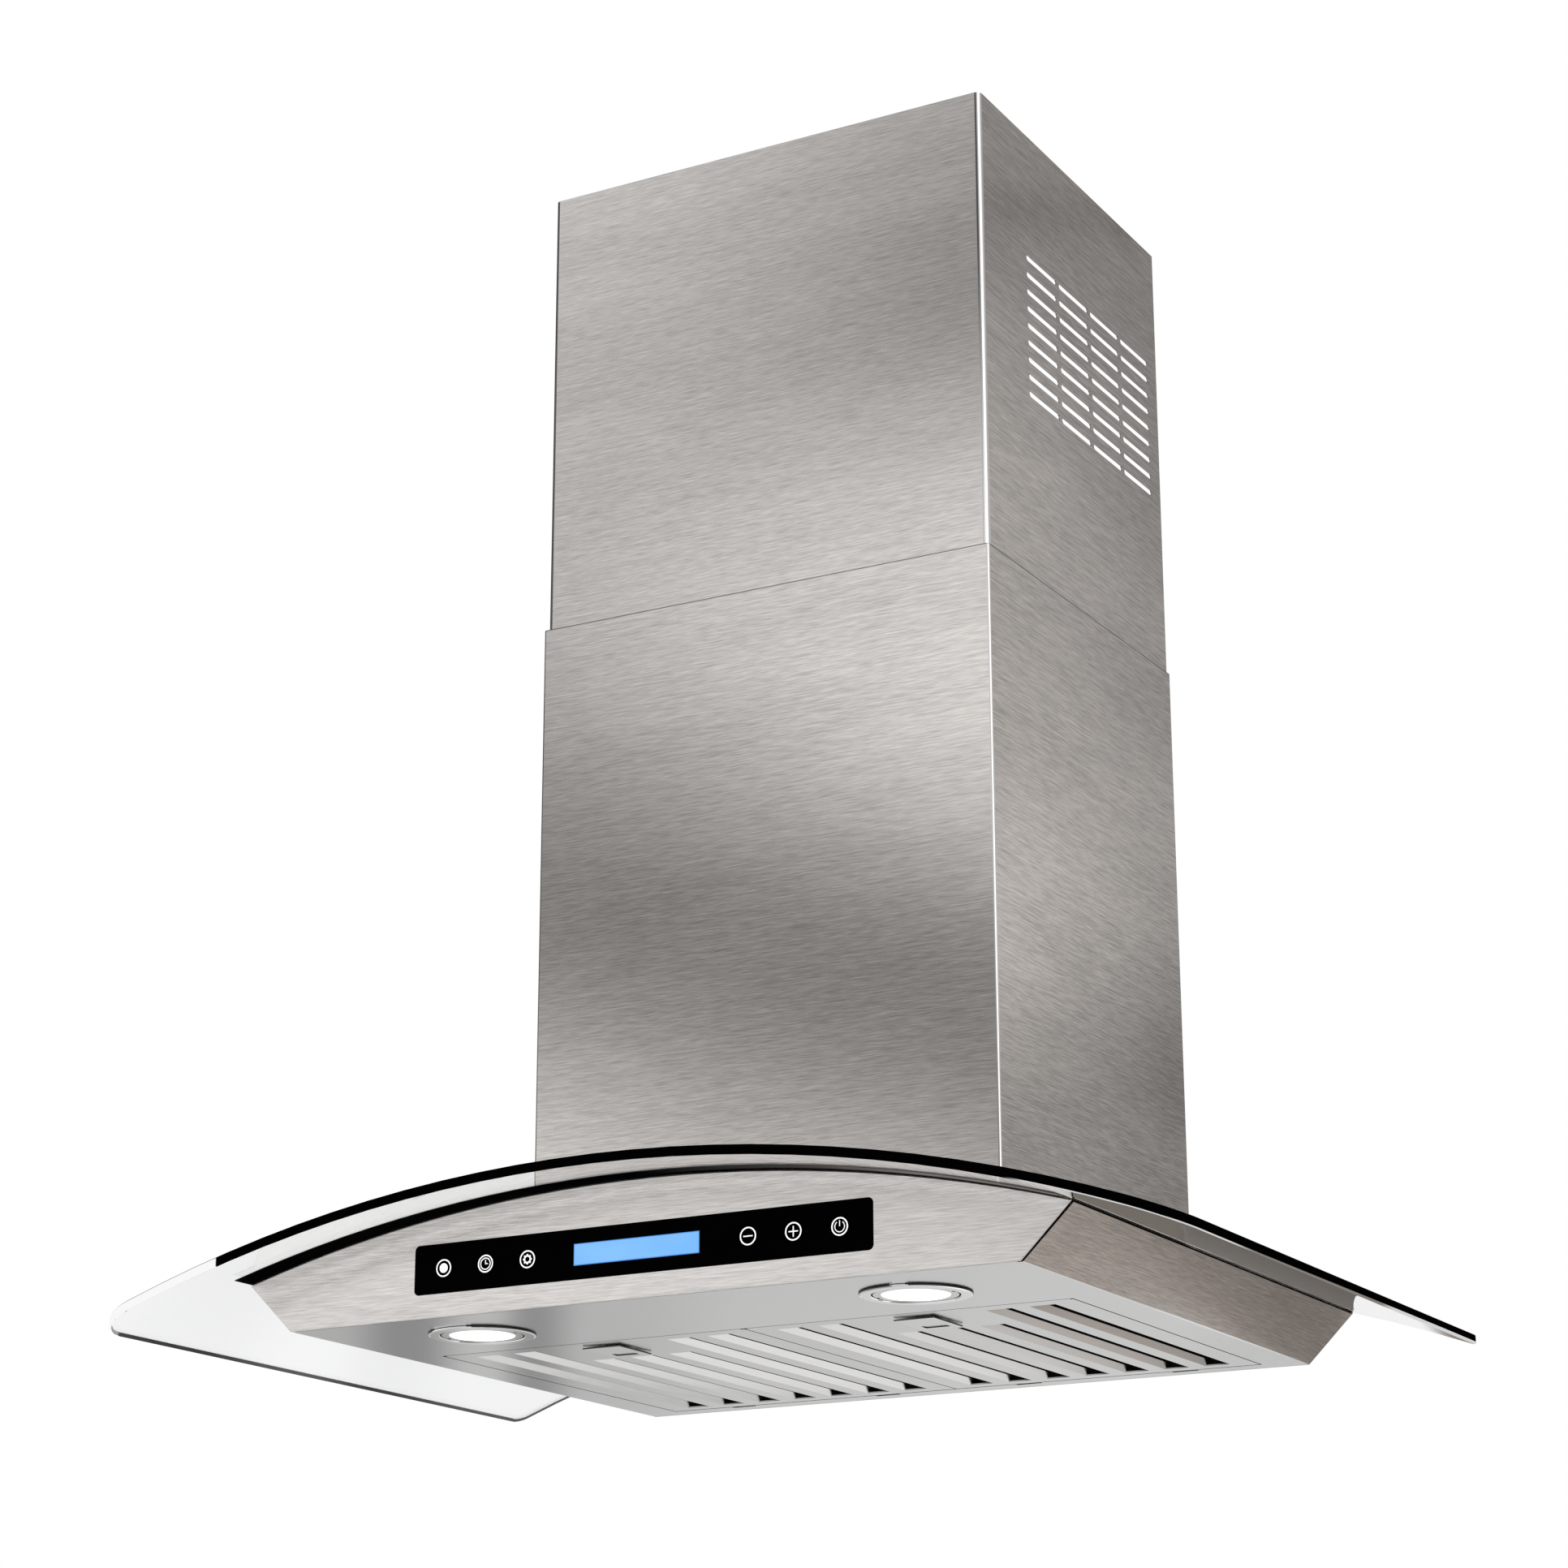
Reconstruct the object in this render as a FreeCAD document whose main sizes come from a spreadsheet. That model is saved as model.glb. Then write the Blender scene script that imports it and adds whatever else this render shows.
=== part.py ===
import FreeCAD, Part
import os
import Sketcher
from FreeCAD import Vector, Placement, Rotation

# Wall mount range hood with an arched glass canopy, millimetres.
# X runs to the right, Y runs into the wall (the wall is the plane y = 0), Z is up.
# The origin is the middle of the lower back edge: z = 0 is the flat underside.

doc = FreeCAD.newDocument("wall_hood")
sheet = doc.addObject("Spreadsheet::Sheet", "dims")

DIMS = [
    # curved glass
    ("glass_half", 375.0, "half width of the glass"),
    ("glass_front", 501.1, "front edge of the glass, distance from the wall"),
    ("glass_back", 1.0, "back edge of the glass, distance from the wall"),
    ("glass_thick", 6.0, "glass thickness"),
    ("arch_radius", 1036.7, "radius of the glass underside"),
    ("arch_drop", 963.6, "depth of the arch axis below the underside of the hood"),
    ("glass_corner", 30.0, "plan radius of the front glass corners"),
    ("glass_corner_back", 9.0, "plan radius of the back glass corners"),
    ("glass_edge", 1.1, "rounding of the glass edges"),
    ("hole_half", 146.0, "half width of the cut-out for the blower box"),
    ("hole_front", 286.0, "front of the cut-out"),
    ("hole_back", 34.0, "back of the cut-out"),
    ("hole_corner", 18.0, "corner radius of the cut-out"),
    ("seat_gap", 0.5, "glass underside to the steel under it"),
    # canopy sheet metal
    ("base_half", 255.5, "half width of the underside"),
    ("top_half", 288.0, "half width at the top of the sloped sides"),
    ("side_top", 31.2, "height of the sloped sides"),
    ("side_run", 0.7214, "direction cosine of the slope along X"),
    ("side_rise", 0.6926, "direction cosine of the slope along Z"),
    ("canopy_front", 449.1, "front face, distance from the wall"),
    ("metal", 1.0, "canopy sheet thickness"),
    ("bend_radius", 1.6, "outside radius of the canopy bends"),
    ("side_front", 445.6, "front edge of the folded shell"),
    ("shell_back", 1.4, "back edge of the folded shell"),
    ("flange_high", 13.0, "height of the front flange of the shell"),
    ("bay_half", 228.4, "half width of the filter opening"),
    ("bay_front", 319.0, "front of the filter opening"),
    ("bay_back", 16.2, "back of the filter opening"),
    ("deck_half", 282.5, "half width of the arched deck"),
    ("throat_half", 125.0, "half width of the deck opening"),
    ("throat_front", 265.0, "front of the deck opening"),
    ("throat_back", 55.0, "back of the deck opening"),
    ("strip_front", 468.4, "front of the black strip under the glass"),
    ("strip_half", 286.5, "half width of the black strip"),
    ("strip_thick", 0.4, "thickness of the black strip"),
    # wall fixing
    ("wall_hole_radius", 4.0, "wall screw hole radius"),
    ("wall_hole_half", 180.0, "half spacing of the wall holes"),
    ("wall_hole_low", 24.0, "height of the lower wall holes"),
    ("wall_hole_high", 48.0, "height of the upper wall holes"),
    # chimney
    ("low_half", 172.55, "half width of the lower chimney"),
    ("low_front", 298.3, "front of the lower chimney"),
    ("low_top", 505.3, "top of the lower chimney"),
    ("low_bend", 2.0, "outside bend of the lower chimney"),
    ("low_rim", 0.5, "rounding of the upper edge of the lower chimney"),
    ("skin", 0.8, "chimney sheet thickness"),
    ("up_half", 171.2, "half width of the upper chimney"),
    ("up_front", 295.9, "front of the upper chimney"),
    ("up_back", 2.1, "back of the upper chimney"),
    ("up_low", 445.0, "lower end of the upper chimney"),
    ("up_top", 836.9, "top of the upper chimney"),
    ("up_bend", 4.5, "outside bend of the upper chimney"),
    ("vent_first", 201.4, "middle of the front vent column, distance from the wall"),
    ("vent_step", 52.9, "vent column pitch"),
    ("vent_long", 48.4, "vent slot length"),
    ("vent_high", 4.2, "vent slot height"),
    ("vent_low", 639.5, "lowest vent row"),
    ("vent_rows", 9.0, "vent rows"),
    ("vent_span", 102.5, "height from the lowest to the highest vent row"),
    ("tab_low", 790.0, "lower end of the fixing tabs of the upper chimney"),
    ("tab_wide", 13.0, "width of the fixing tabs"),
    ("bracket_half", 168.0, "outer end of a chimney wall bracket, distance from the middle"),
    ("bracket_in", 118.0, "inner end of a chimney wall bracket, distance from the middle"),
    ("bracket_low", 804.0, "lower edge of the bracket"),
    ("bracket_high", 824.0, "upper edge of the bracket"),
    ("bracket_hole_half", 130.0, "half spacing of the bracket wall holes"),
    ("bracket_hole_radius", 3.0, "bracket wall hole radius"),
    # blower
    ("box_half", 135.0, "half width of the blower box"),
    ("box_front", 275.0, "front of the blower box"),
    ("box_back", 45.0, "back of the blower box"),
    ("box_top", 292.0, "top of the blower box"),
    ("fan_y", 160.0, "fan and duct axis, distance from the wall"),
    ("fan_z", 178.0, "height of the fan axis"),
    ("scroll_radius", 95.0, "outside radius of the fan scroll"),
    ("scroll_half", 85.0, "half width of the fan scroll"),
    ("scroll_mouth", 72.0, "half depth of the scroll outlet"),
    ("inlet_radius", 62.0, "scroll inlet radius"),
    ("wheel_radius", 72.0, "fan wheel radius"),
    ("wheel_inner", 63.0, "inner radius of the fan wheel rings"),
    ("wheel_half", 77.0, "half width of the fan wheel"),
    ("blade_count", 40.0, "fan blades"),
    ("shaft_radius", 4.0, "motor shaft radius"),
    ("motor_radius", 42.0, "motor radius"),
    ("running_gap", 0.08, "radial running clearance"),
    ("duct_radius", 75.0, "outside radius of the duct collar"),
    ("collar_wall", 1.6, "wall of the duct collar"),
    ("collar_top", 352.0, "top of the duct collar"),
    ("flange_half", 86.0, "half width of the collar flange"),
    ("flap_z", 312.0, "height of the damper pin"),
    ("flap_radius", 72.4, "radius of the damper flaps"),
    ("flap_thick", 1.2, "thickness of the damper flaps"),
    ("knuckle_radius", 3.8, "damper knuckle radius"),
    ("pin_radius", 2.0, "damper pin radius"),
    # controls
    ("panel_half", 161.0, "half width of the touch panel"),
    ("panel_low", 15.3, "lower edge of the touch panel"),
    ("panel_high", 45.6, "upper edge of the touch panel"),
    ("panel_corner", 3.0, "corner radius of the touch panel"),
    ("panel_proud", 0.4, "touch panel in front of the fascia"),
    ("panel_thick", 3.0, "touch panel thickness"),
    ("panel_gap", 0.25, "gap round the touch panel"),
    ("screen_half", 44.2, "half width of the display"),
    ("screen_low", 23.5, "lower edge of the display"),
    ("screen_high", 36.8, "upper edge of the display"),
    # lamps
    ("lamp_x", 154.6, "lamp position along X"),
    ("lamp_y", 382.0, "lamp distance from the wall"),
    ("trim_radius", 34.4, "lamp trim outside radius"),
    ("trim_deep", 1.6, "lamp trim below the panel"),
    ("trim_bore", 26.9, "lamp trim bore"),
    ("lamp_neck", 28.6, "lamp neck radius"),
    ("lamp_hole", 29.6, "hole for the lamp in the panel"),
    ("ring_radius", 25.9, "outer radius of the lens ring"),
    ("lens_radius", 21.2, "radius of the lamp lens"),
    # filters
    ("seam_half", 0.5, "half of the gap between the filters"),
    ("filter_out", 227.3, "outer side of a filter"),
    ("filter_front", 318.0, "front of a filter"),
    ("filter_back", 18.0, "back of a filter"),
    ("pan_sheet", 0.8, "filter sheet thickness"),
    ("pan_high", 11.2, "filter rim height"),
    ("slot_first", 17.0, "first slot, distance from the middle"),
    ("slot_wide", 17.4, "slot width"),
    ("slot_step", 29.3, "slot pitch"),
    ("slot_back", 29.0, "back end of the slots"),
    ("slot_front", 305.0, "front end of the long slots"),
    ("slot_short", 254.0, "front end of the slots behind the latch"),
    ("louvre_high", 4.0, "height of the slot louvres"),
    ("louvre_run", 2.8, "lean of the slot louvres"),
    ("louvre_thick", 0.8, "width of a louvre section along X"),
    ("baffle_half", 12.5, "half width of an upper baffle"),
    ("baffle_low", 6.4, "lower edge of an upper baffle"),
    ("baffle_high", 10.2, "top of an upper baffle"),
    ("latch_x", 113.7, "latch position along X"),
    ("latch_half", 14.0, "half width of the latch plate"),
    ("latch_front", 305.0, "front of the latch plate"),
    ("latch_back", 265.0, "back of the latch plate"),
    ("latch_low", 1.5, "underside of the latch plate below the filter"),
    ("latch_gap", 0.6, "latch plate to filter"),
    ("latch_travel", 6.0, "latch travel"),
    ("hook_y", 14.6, "filter pivot, distance from the wall"),
    ("hook_z", 2.6, "filter pivot height"),
    ("hook_radius", 1.2, "radius of the rolled filter hooks"),
    ("hook_first", 55.0, "first hook, distance from the middle"),
    ("hook_second", 172.0, "second hook, distance from the middle"),
    ("hook_tab", 8.0, "half width of a hook tab"),
    ("hook_half", 17.0, "half length of a rolled hook"),
]
VALUE = {}
for i, (alias, number, words) in enumerate(DIMS):
    row = i + 1
    sheet.set("A%d" % row, words)
    sheet.set("B%d" % row, "%r" % number)
    sheet.setAlias("B%d" % row, alias)
    VALUE[alias] = number
doc.recompute()


class Q:
    """A length: its number, and the formula that ties it to the sheet."""

    def __init__(self, number, formula):
        self.v = float(number)
        self.e = formula

    def __add__(self, o):
        o = q(o)
        return Q(self.v + o.v, "(%s + %s)" % (self.e, o.e))

    def __radd__(self, o):
        return q(o) + self

    def __sub__(self, o):
        o = q(o)
        return Q(self.v - o.v, "(%s - %s)" % (self.e, o.e))

    def __rsub__(self, o):
        return q(o) - self

    def __mul__(self, o):
        o = q(o)
        return Q(self.v * o.v, "(%s * %s)" % (self.e, o.e))

    def __rmul__(self, o):
        return q(o) * self

    def __truediv__(self, o):
        o = q(o)
        return Q(self.v / o.v, "(%s / %s)" % (self.e, o.e))

    def __neg__(self):
        return Q(-self.v, "(0 - %s)" % self.e)


def q(o):
    if isinstance(o, Q):
        return o
    return Q(o, "%.6g" % o if o >= 0 else "(0 - %.6g)" % -o)


class Cells:
    def __getattr__(self, alias):
        return Q(VALUE[alias], "dims." + alias)


d = Cells()
NODES = []


def node(obj, name):
    """Names a finished piece."""
    obj.Label = name
    NODES.append(obj)
    return obj


# ---------------------------------------------------------------- primitives

def box(name, x, y, z):
    o = doc.addObject("Part::Box", name)
    for prop, axis, (low, high) in zip(("Length", "Width", "Height"), "xyz", (x, y, z)):
        o.setExpression(prop, (q(high) - q(low)).e)
        o.setExpression("Placement.Base." + axis, q(low).e)
    return o


def cyl(name, radius, axis, a, b, low, high):
    """Cylinder along axis from low to high; a and b are its two other coordinates in X, Y, Z order."""
    o = doc.addObject("Part::Cylinder", name)
    turn = {"X": Rotation(Vector(0, 1, 0), 90), "Y": Rotation(Vector(1, 0, 0), -90), "Z": Rotation()}[axis]
    o.Placement = Placement(Vector(), turn)
    o.setExpression("Radius", q(radius).e)
    o.setExpression("Height", (q(high) - q(low)).e)
    place = {"X": (low, a, b), "Y": (a, low, b), "Z": (a, b, low)}[axis]
    for letter, value in zip("xyz", place):
        o.setExpression("Placement.Base." + letter, q(value).e)
    return o


def cone(name, r1, r2, a, b, low, high):
    o = doc.addObject("Part::Cone", name)
    o.setExpression("Radius1", q(r1).e)
    o.setExpression("Radius2", q(r2).e)
    o.setExpression("Height", (q(high) - q(low)).e)
    for letter, value in zip("xyz", (a, b, low)):
        o.setExpression("Placement.Base." + letter, q(value).e)
    return o


def fuse(name, parts):
    if len(parts) == 1:
        return parts[0]
    o = doc.addObject("Part::MultiFuse", name)
    o.Shapes = parts
    return o


def cut(name, base, tools):
    o = doc.addObject("Part::Cut", name)
    o.Base = base
    o.Tool = fuse(name + "_tools", tools)
    return o


def common(name, a, b):
    o = doc.addObject("Part::Common", name)
    o.Base = a
    o.Tool = b
    return o


def group(name, parts):
    o = doc.addObject("Part::Compound", name)
    o.Links = parts
    return o


def screw(name, axis, a, b, tip, seat, head_radius=3.6, shank_radius=1.9, head=2.4):
    """Pan head screw: shank from tip to seat, head on the far side of seat."""
    way = 1 if q(seat).v > q(tip).v else -1
    far = q(seat) + way * head
    span = (tip, seat) if way > 0 else (seat, tip)
    cap = (seat, far) if way > 0 else (far, seat)
    shank = cyl(name + "_shank", shank_radius, axis, a, b, *span)
    top = cyl(name + "_head", head_radius, axis, a, b, *cap)
    return fuse(name, [shank, top])


# ------------------------------------------------------------------ sketches

def new_body(name):
    return doc.addObject("PartDesign::Body", name)


def new_sketch(body, name, role, lift=None):
    s = body.newObject("Sketcher::SketchObject", name)
    plane = [f for f in body.Origin.OriginFeatures if f.Role == role][0]
    s.AttachmentSupport = [(plane, "")]
    s.MapMode = "FlatFace"
    if lift is not None:
        s.setExpression("AttachmentOffset.Base.z", q(lift).e)
    return s


def tie(s, kind, first, second, value):
    """Signed distance from the sketch origin to a point, driven by the sheet."""
    value = q(value)
    line = -2 if kind == "DistanceX" else -1
    if abs(value.v) < 1e-9:
        s.addConstraint(Sketcher.Constraint("PointOnObject", first, second, line))
        return
    if value.v > 0:
        index = s.addConstraint(Sketcher.Constraint(kind, -1, 1, first, second, value.v))
        s.setExpression("Constraints[%d]" % index, value.e)
    else:
        index = s.addConstraint(Sketcher.Constraint(kind, first, second, -1, 1, -value.v))
        s.setExpression("Constraints[%d]" % index, (-value).e)


def loop(s, points):
    """Closed polygon."""
    base = s.GeometryCount
    count = len(points)
    ends = [Vector(q(u).v, q(v).v, 0) for u, v in points]
    for i in range(count):
        s.addGeometry(Part.LineSegment(ends[i], ends[(i + 1) % count]), False)
    for i in range(count):
        s.addConstraint(Sketcher.Constraint("Coincident", base + i, 2, base + (i + 1) % count, 1))
    for i, (u, v) in enumerate(points):
        tie(s, "DistanceX", base + i, 1, u)
        tie(s, "DistanceY", base + i, 1, v)


def rect(s, u0, u1, v0, v1):
    loop(s, [(u0, v0), (u1, v0), (u1, v1), (u0, v1)])


def circle(s, u, v, radius):
    g = s.addGeometry(Part.Circle(Vector(q(u).v, q(v).v, 0), Vector(0, 0, 1), q(radius).v), False)
    index = s.addConstraint(Sketcher.Constraint("Radius", g, q(radius).v))
    s.setExpression("Constraints[%d]" % index, q(radius).e)
    tie(s, "DistanceX", g, 3, u)
    tie(s, "DistanceY", g, 3, v)


def arc_about_axis(s, radius, half):
    """Arc of the canopy's arch from +half to -half; the centre lies on the sheet's arch axis."""
    import math
    radius, half = q(radius), q(half)
    a = math.acos(half.v / radius.v)
    g = s.addGeometry(Part.ArcOfCircle(Part.Circle(Vector(0, -d.arch_drop.v, 0), Vector(0, 0, 1), radius.v), a, math.pi - a), False)
    tie(s, "DistanceX", g, 3, 0)
    tie(s, "DistanceY", g, 3, -d.arch_drop)
    index = s.addConstraint(Sketcher.Constraint("Radius", g, radius.v))
    s.setExpression("Constraints[%d]" % index, radius.e)
    tie(s, "DistanceX", g, 1, half)
    tie(s, "DistanceX", g, 2, -half)
    return g


def arch_height(radius, half):
    return -d.arch_drop.v + (q(radius).v ** 2 - q(half).v ** 2) ** 0.5


def arch_panel(s, base_half, top_half, radius):
    """Flat foot, sloped sides and an arched top."""
    z = arch_height(radius, top_half)
    b, t = q(base_half).v, q(top_half).v
    foot = s.addGeometry(Part.LineSegment(Vector(-b, 0, 0), Vector(b, 0, 0)), False)
    right = s.addGeometry(Part.LineSegment(Vector(b, 0, 0), Vector(t, z, 0)), False)
    top = arc_about_axis(s, radius, top_half)
    left = s.addGeometry(Part.LineSegment(Vector(-t, z, 0), Vector(-b, 0, 0)), False)
    for a, ap, c, cp in ((foot, 2, right, 1), (right, 2, top, 1), (top, 2, left, 1), (left, 2, foot, 1)):
        s.addConstraint(Sketcher.Constraint("Coincident", a, ap, c, cp))
    tie(s, "DistanceX", foot, 1, -q(base_half))
    tie(s, "DistanceX", foot, 2, base_half)
    tie(s, "DistanceY", foot, 1, 0)
    tie(s, "DistanceY", foot, 2, 0)


def arch_band(s, inner, outer, half):
    """Curved plate section between two radii, with upright ends."""
    low = arc_about_axis(s, inner, half)
    high = arc_about_axis(s, outer, half)
    zl, zh, h = arch_height(inner, half), arch_height(outer, half), q(half).v
    right = s.addGeometry(Part.LineSegment(Vector(h, zl, 0), Vector(h, zh, 0)), False)
    left = s.addGeometry(Part.LineSegment(Vector(-h, zh, 0), Vector(-h, zl, 0)), False)
    for a, ap, c, cp in ((low, 1, right, 1), (right, 2, high, 1), (high, 2, left, 1), (left, 2, low, 2)):
        s.addConstraint(Sketcher.Constraint("Coincident", a, ap, c, cp))


def slot(s, u, v, length, high):
    """Slot with round ends, its length along the sketch's first axis."""
    import math
    length, high = q(length), q(high)
    r = high.v / 2
    a, b, c = q(u).v - length.v / 2 + r, q(u).v + length.v / 2 - r, q(v).v
    top = s.addGeometry(Part.LineSegment(Vector(a, c + r, 0), Vector(b, c + r, 0)), False)
    right = s.addGeometry(Part.ArcOfCircle(Part.Circle(Vector(b, c, 0), Vector(0, 0, 1), r), -math.pi / 2, math.pi / 2), False)
    low = s.addGeometry(Part.LineSegment(Vector(a, c - r, 0), Vector(b, c - r, 0)), False)
    left = s.addGeometry(Part.ArcOfCircle(Part.Circle(Vector(a, c, 0), Vector(0, 0, 1), r), math.pi / 2, 3 * math.pi / 2), False)
    for one, p1, two, p2 in ((top, 2, right, 2), (low, 2, right, 1), (top, 1, left, 1), (low, 1, left, 2)):
        s.addConstraint(Sketcher.Constraint("Tangent", one, p1, two, p2))
    s.addConstraint(Sketcher.Constraint("Horizontal", top))
    s.addConstraint(Sketcher.Constraint("Equal", right, left))
    index = s.addConstraint(Sketcher.Constraint("Radius", right, r))
    s.setExpression("Constraints[%d]" % index, (high / 2).e)
    tie(s, "DistanceX", left, 3, q(u) - length / 2 + high / 2)
    tie(s, "DistanceX", right, 3, q(u) + length / 2 - high / 2)
    tie(s, "DistanceY", left, 3, v)


def pad(body, name, profile, length, both=False, back=False):
    f = body.newObject("PartDesign::Pad", name)
    f.Profile = profile
    f.setExpression("Length", q(length).e)
    if both:
        f.SideType = "Symmetric"
    f.Reversed = back
    body.Tip = f
    return f


def pocket(body, name, profile, length):
    """Cut to both sides of the sketch, half of length each way."""
    doc.recompute()
    before = body.Tip.Shape.Volume
    f = body.newObject("PartDesign::Pocket", name)
    f.Profile = profile
    f.setExpression("Length", q(length).e)
    f.SideType = "Symmetric"
    body.Tip = f
    doc.recompute()
    if f.Shape.isNull() or f.Shape.Volume >= before - 1e-6:
        raise RuntimeError("%s cuts nothing" % name)
    return f


def round_edges(body, name, radius, wanted):
    """Fillet of the edges that the test wanted picks."""
    doc.recompute()
    last = body.Tip
    edges = ["Edge%d" % (i + 1) for i, e in enumerate(last.Shape.Edges) if wanted(e)]
    if not edges:
        raise RuntimeError("%s finds no edge" % name)
    f = body.newObject("PartDesign::Fillet", name)
    f.Base = (last, edges)
    f.setExpression("Radius", q(radius).e)
    body.Tip = f
    doc.recompute()
    if f.Shape.isNull() or not f.Shape.isValid():
        raise RuntimeError("%s fails" % name)
    return f


def ends_of(e):
    return [v.Point for v in e.Vertexes]


def upright(e, half=None, front=None):
    """Edge along Z, at a given |x| and front distance."""
    p = ends_of(e)
    if len(p) != 2 or abs(p[0].x - p[1].x) > 1e-4 or abs(p[0].y - p[1].y) > 1e-4:
        return False
    if half is not None and abs(abs(p[0].x) - half) > 1e-3:
        return False
    if front is not None and abs(p[0].y + front) > 1e-3:
        return False
    return True


# ------------------------------------------------------------- canopy shell

# One folded sheet: the flat underside and the two sloped sides.
b = new_body("canopy_shell_body")
s = new_sketch(b, "shell_section", "XZ_Plane", d.shell_back)
inner_top_x = d.top_half - d.metal * d.side_rise
inner_top_z = d.side_top + d.metal * d.side_run
inner_low_x = d.base_half - d.metal * 0.4
loop(s, [(-d.top_half, d.side_top), (-d.base_half, 0), (d.base_half, 0), (d.top_half, d.side_top),
         (inner_top_x, inner_top_z), (inner_low_x, d.metal), (-inner_low_x, d.metal), (-inner_top_x, inner_top_z)])
pad(b, "shell_sheet", s, d.side_front - d.shell_back)
round_edges(b, "shell_bends", d.bend_radius,
            lambda e: all(abs(p.z) < 1e-6 and abs(abs(p.x) - d.base_half.v) < 1e-6 for p in ends_of(e)) and len(ends_of(e)) == 2
            and abs(ends_of(e)[0].y - ends_of(e)[1].y) > 10)
s = new_sketch(b, "front_flange_plan", "XY_Plane")
rect(s, -d.base_half + 3, d.base_half - 3, -d.side_front - 2.0, -d.side_front + 3)
pad(b, "front_flange_foot", s, d.metal)
s = new_sketch(b, "front_flange_plan_up", "XY_Plane")
rect(s, -d.base_half + 3, d.base_half - 3, -d.side_front - 2.0, -d.side_front - 1.0)
pad(b, "front_flange", s, d.flange_high)
s = new_sketch(b, "bay_plan", "XY_Plane")
rect(s, -d.bay_half, d.bay_half, -d.bay_front, -d.bay_back)
pocket(b, "filter_bay", s, 20)
s = new_sketch(b, "lamp_holes_plan", "XY_Plane")
circle(s, d.lamp_x, -d.lamp_y, d.lamp_hole)
circle(s, -d.lamp_x, -d.lamp_y, d.lamp_hole)
pocket(b, "lamp_holes", s, 20)
s = new_sketch(b, "hook_notches_plan", "XY_Plane")
for x in (d.hook_first, d.hook_second, -d.hook_first, -d.hook_second):
    rect(s, x - d.hook_tab - 1.6, x + d.hook_tab + 1.6, -d.bay_back - 2, -d.hook_y + 1.7)
pocket(b, "hook_notches", s, 20)
node(b, "canopy_shell")

# Flat front, with the window for the touch panel.
b = new_body("front_fascia_body")
s = new_sketch(b, "fascia_outline", "XZ_Plane", d.canopy_front - d.metal)
arch_panel(s, d.base_half, d.top_half, d.arch_radius - d.seat_gap)
pad(b, "fascia_sheet", s, d.metal)
s = new_sketch(b, "window_outline", "XZ_Plane", d.canopy_front)
rect(s, -d.panel_half - d.panel_gap, d.panel_half + d.panel_gap, d.panel_low - d.panel_gap, d.panel_high + d.panel_gap)
pocket(b, "window", s, 8)
round_edges(b, "window_corners", d.panel_corner + d.panel_gap,
            lambda e: len(ends_of(e)) == 2 and abs(ends_of(e)[0].y - ends_of(e)[1].y) > 0.5
            and abs(abs(ends_of(e)[0].x) - d.panel_half.v - d.panel_gap.v) < 1e-3)
round_edges(b, "front_edges", 0.45,
            lambda e: all(abs(p.y + d.canopy_front.v) < 1e-4 for p in ends_of(e)) and e.BoundBox.ZMax < 55)
node(b, "front_fascia")

# Back, flat against the wall, with the four wall screw holes.
b = new_body("back_panel_body")
s = new_sketch(b, "back_outline", "XZ_Plane")
arch_panel(s, d.base_half, d.top_half, d.arch_radius - d.seat_gap)
pad(b, "back_sheet", s, d.metal)
s = new_sketch(b, "wall_holes_plan", "XZ_Plane")
for x in (-d.wall_hole_half, d.wall_hole_half):
    for z in (d.wall_hole_low, d.wall_hole_high):
        circle(s, x, z, d.wall_hole_radius)
pocket(b, "wall_holes", s, 10)
node(b, "back_panel")

# Arched deck that carries the glass and the blower box.
b = new_body("top_deck_body")
s = new_sketch(b, "deck_section", "XZ_Plane", d.shell_back)
arch_band(s, d.arch_radius - d.seat_gap - d.metal, d.arch_radius - d.seat_gap, d.deck_half)
pad(b, "deck_sheet", s, d.canopy_front - d.metal - 0.5 - d.shell_back)
s = new_sketch(b, "throat_plan", "XY_Plane")
rect(s, -d.throat_half, d.throat_half, -d.throat_front, -d.throat_back)
pocket(b, "throat", s, 300)
s = new_sketch(b, "deck_screw_plan", "XY_Plane")
for x in (-141, 141):
    for y in (-227.5, -92.5):
        circle(s, x, y, 1.7)
pocket(b, "deck_screw_holes", s, 300)
node(b, "top_deck")

# Seal strips between the sloped sides and the glass.
seals = []
for side, tag in ((-1, "left"), (1, "right")):
    b = new_body("side_seal_" + tag)
    s = new_sketch(b, "seal_section_" + tag, "XZ_Plane", d.shell_back)
    loop(s, [(side * (d.top_half + 0.5), d.side_top + 0.15), (side * (d.top_half + 0.5), d.side_top + 0.8),
             (side * (d.top_half - 4.5), d.side_top + 2.25), (side * (d.top_half - 4.5), d.side_top + 1.15),
             (side * (d.top_half - 0.8), d.side_top + 0.95)])
    pad(b, "seal_run_" + tag, s, d.canopy_front - d.metal - 0.6 - d.shell_back)
    seals.append(b)
node(group("side_seals_group", seals), "side_seals")

# Gloss black strip on the underside of the glass, just in front of the fascia.
b = new_body("front_strip_body")
s = new_sketch(b, "strip_section", "XZ_Plane", d.canopy_front + 0.1)
arch_band(s, d.arch_radius - 0.1 - d.strip_thick, d.arch_radius - 0.1, d.strip_half)
pad(b, "strip_run", s, d.strip_front - d.canopy_front - 0.1)
node(b, "front_strip")

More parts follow.
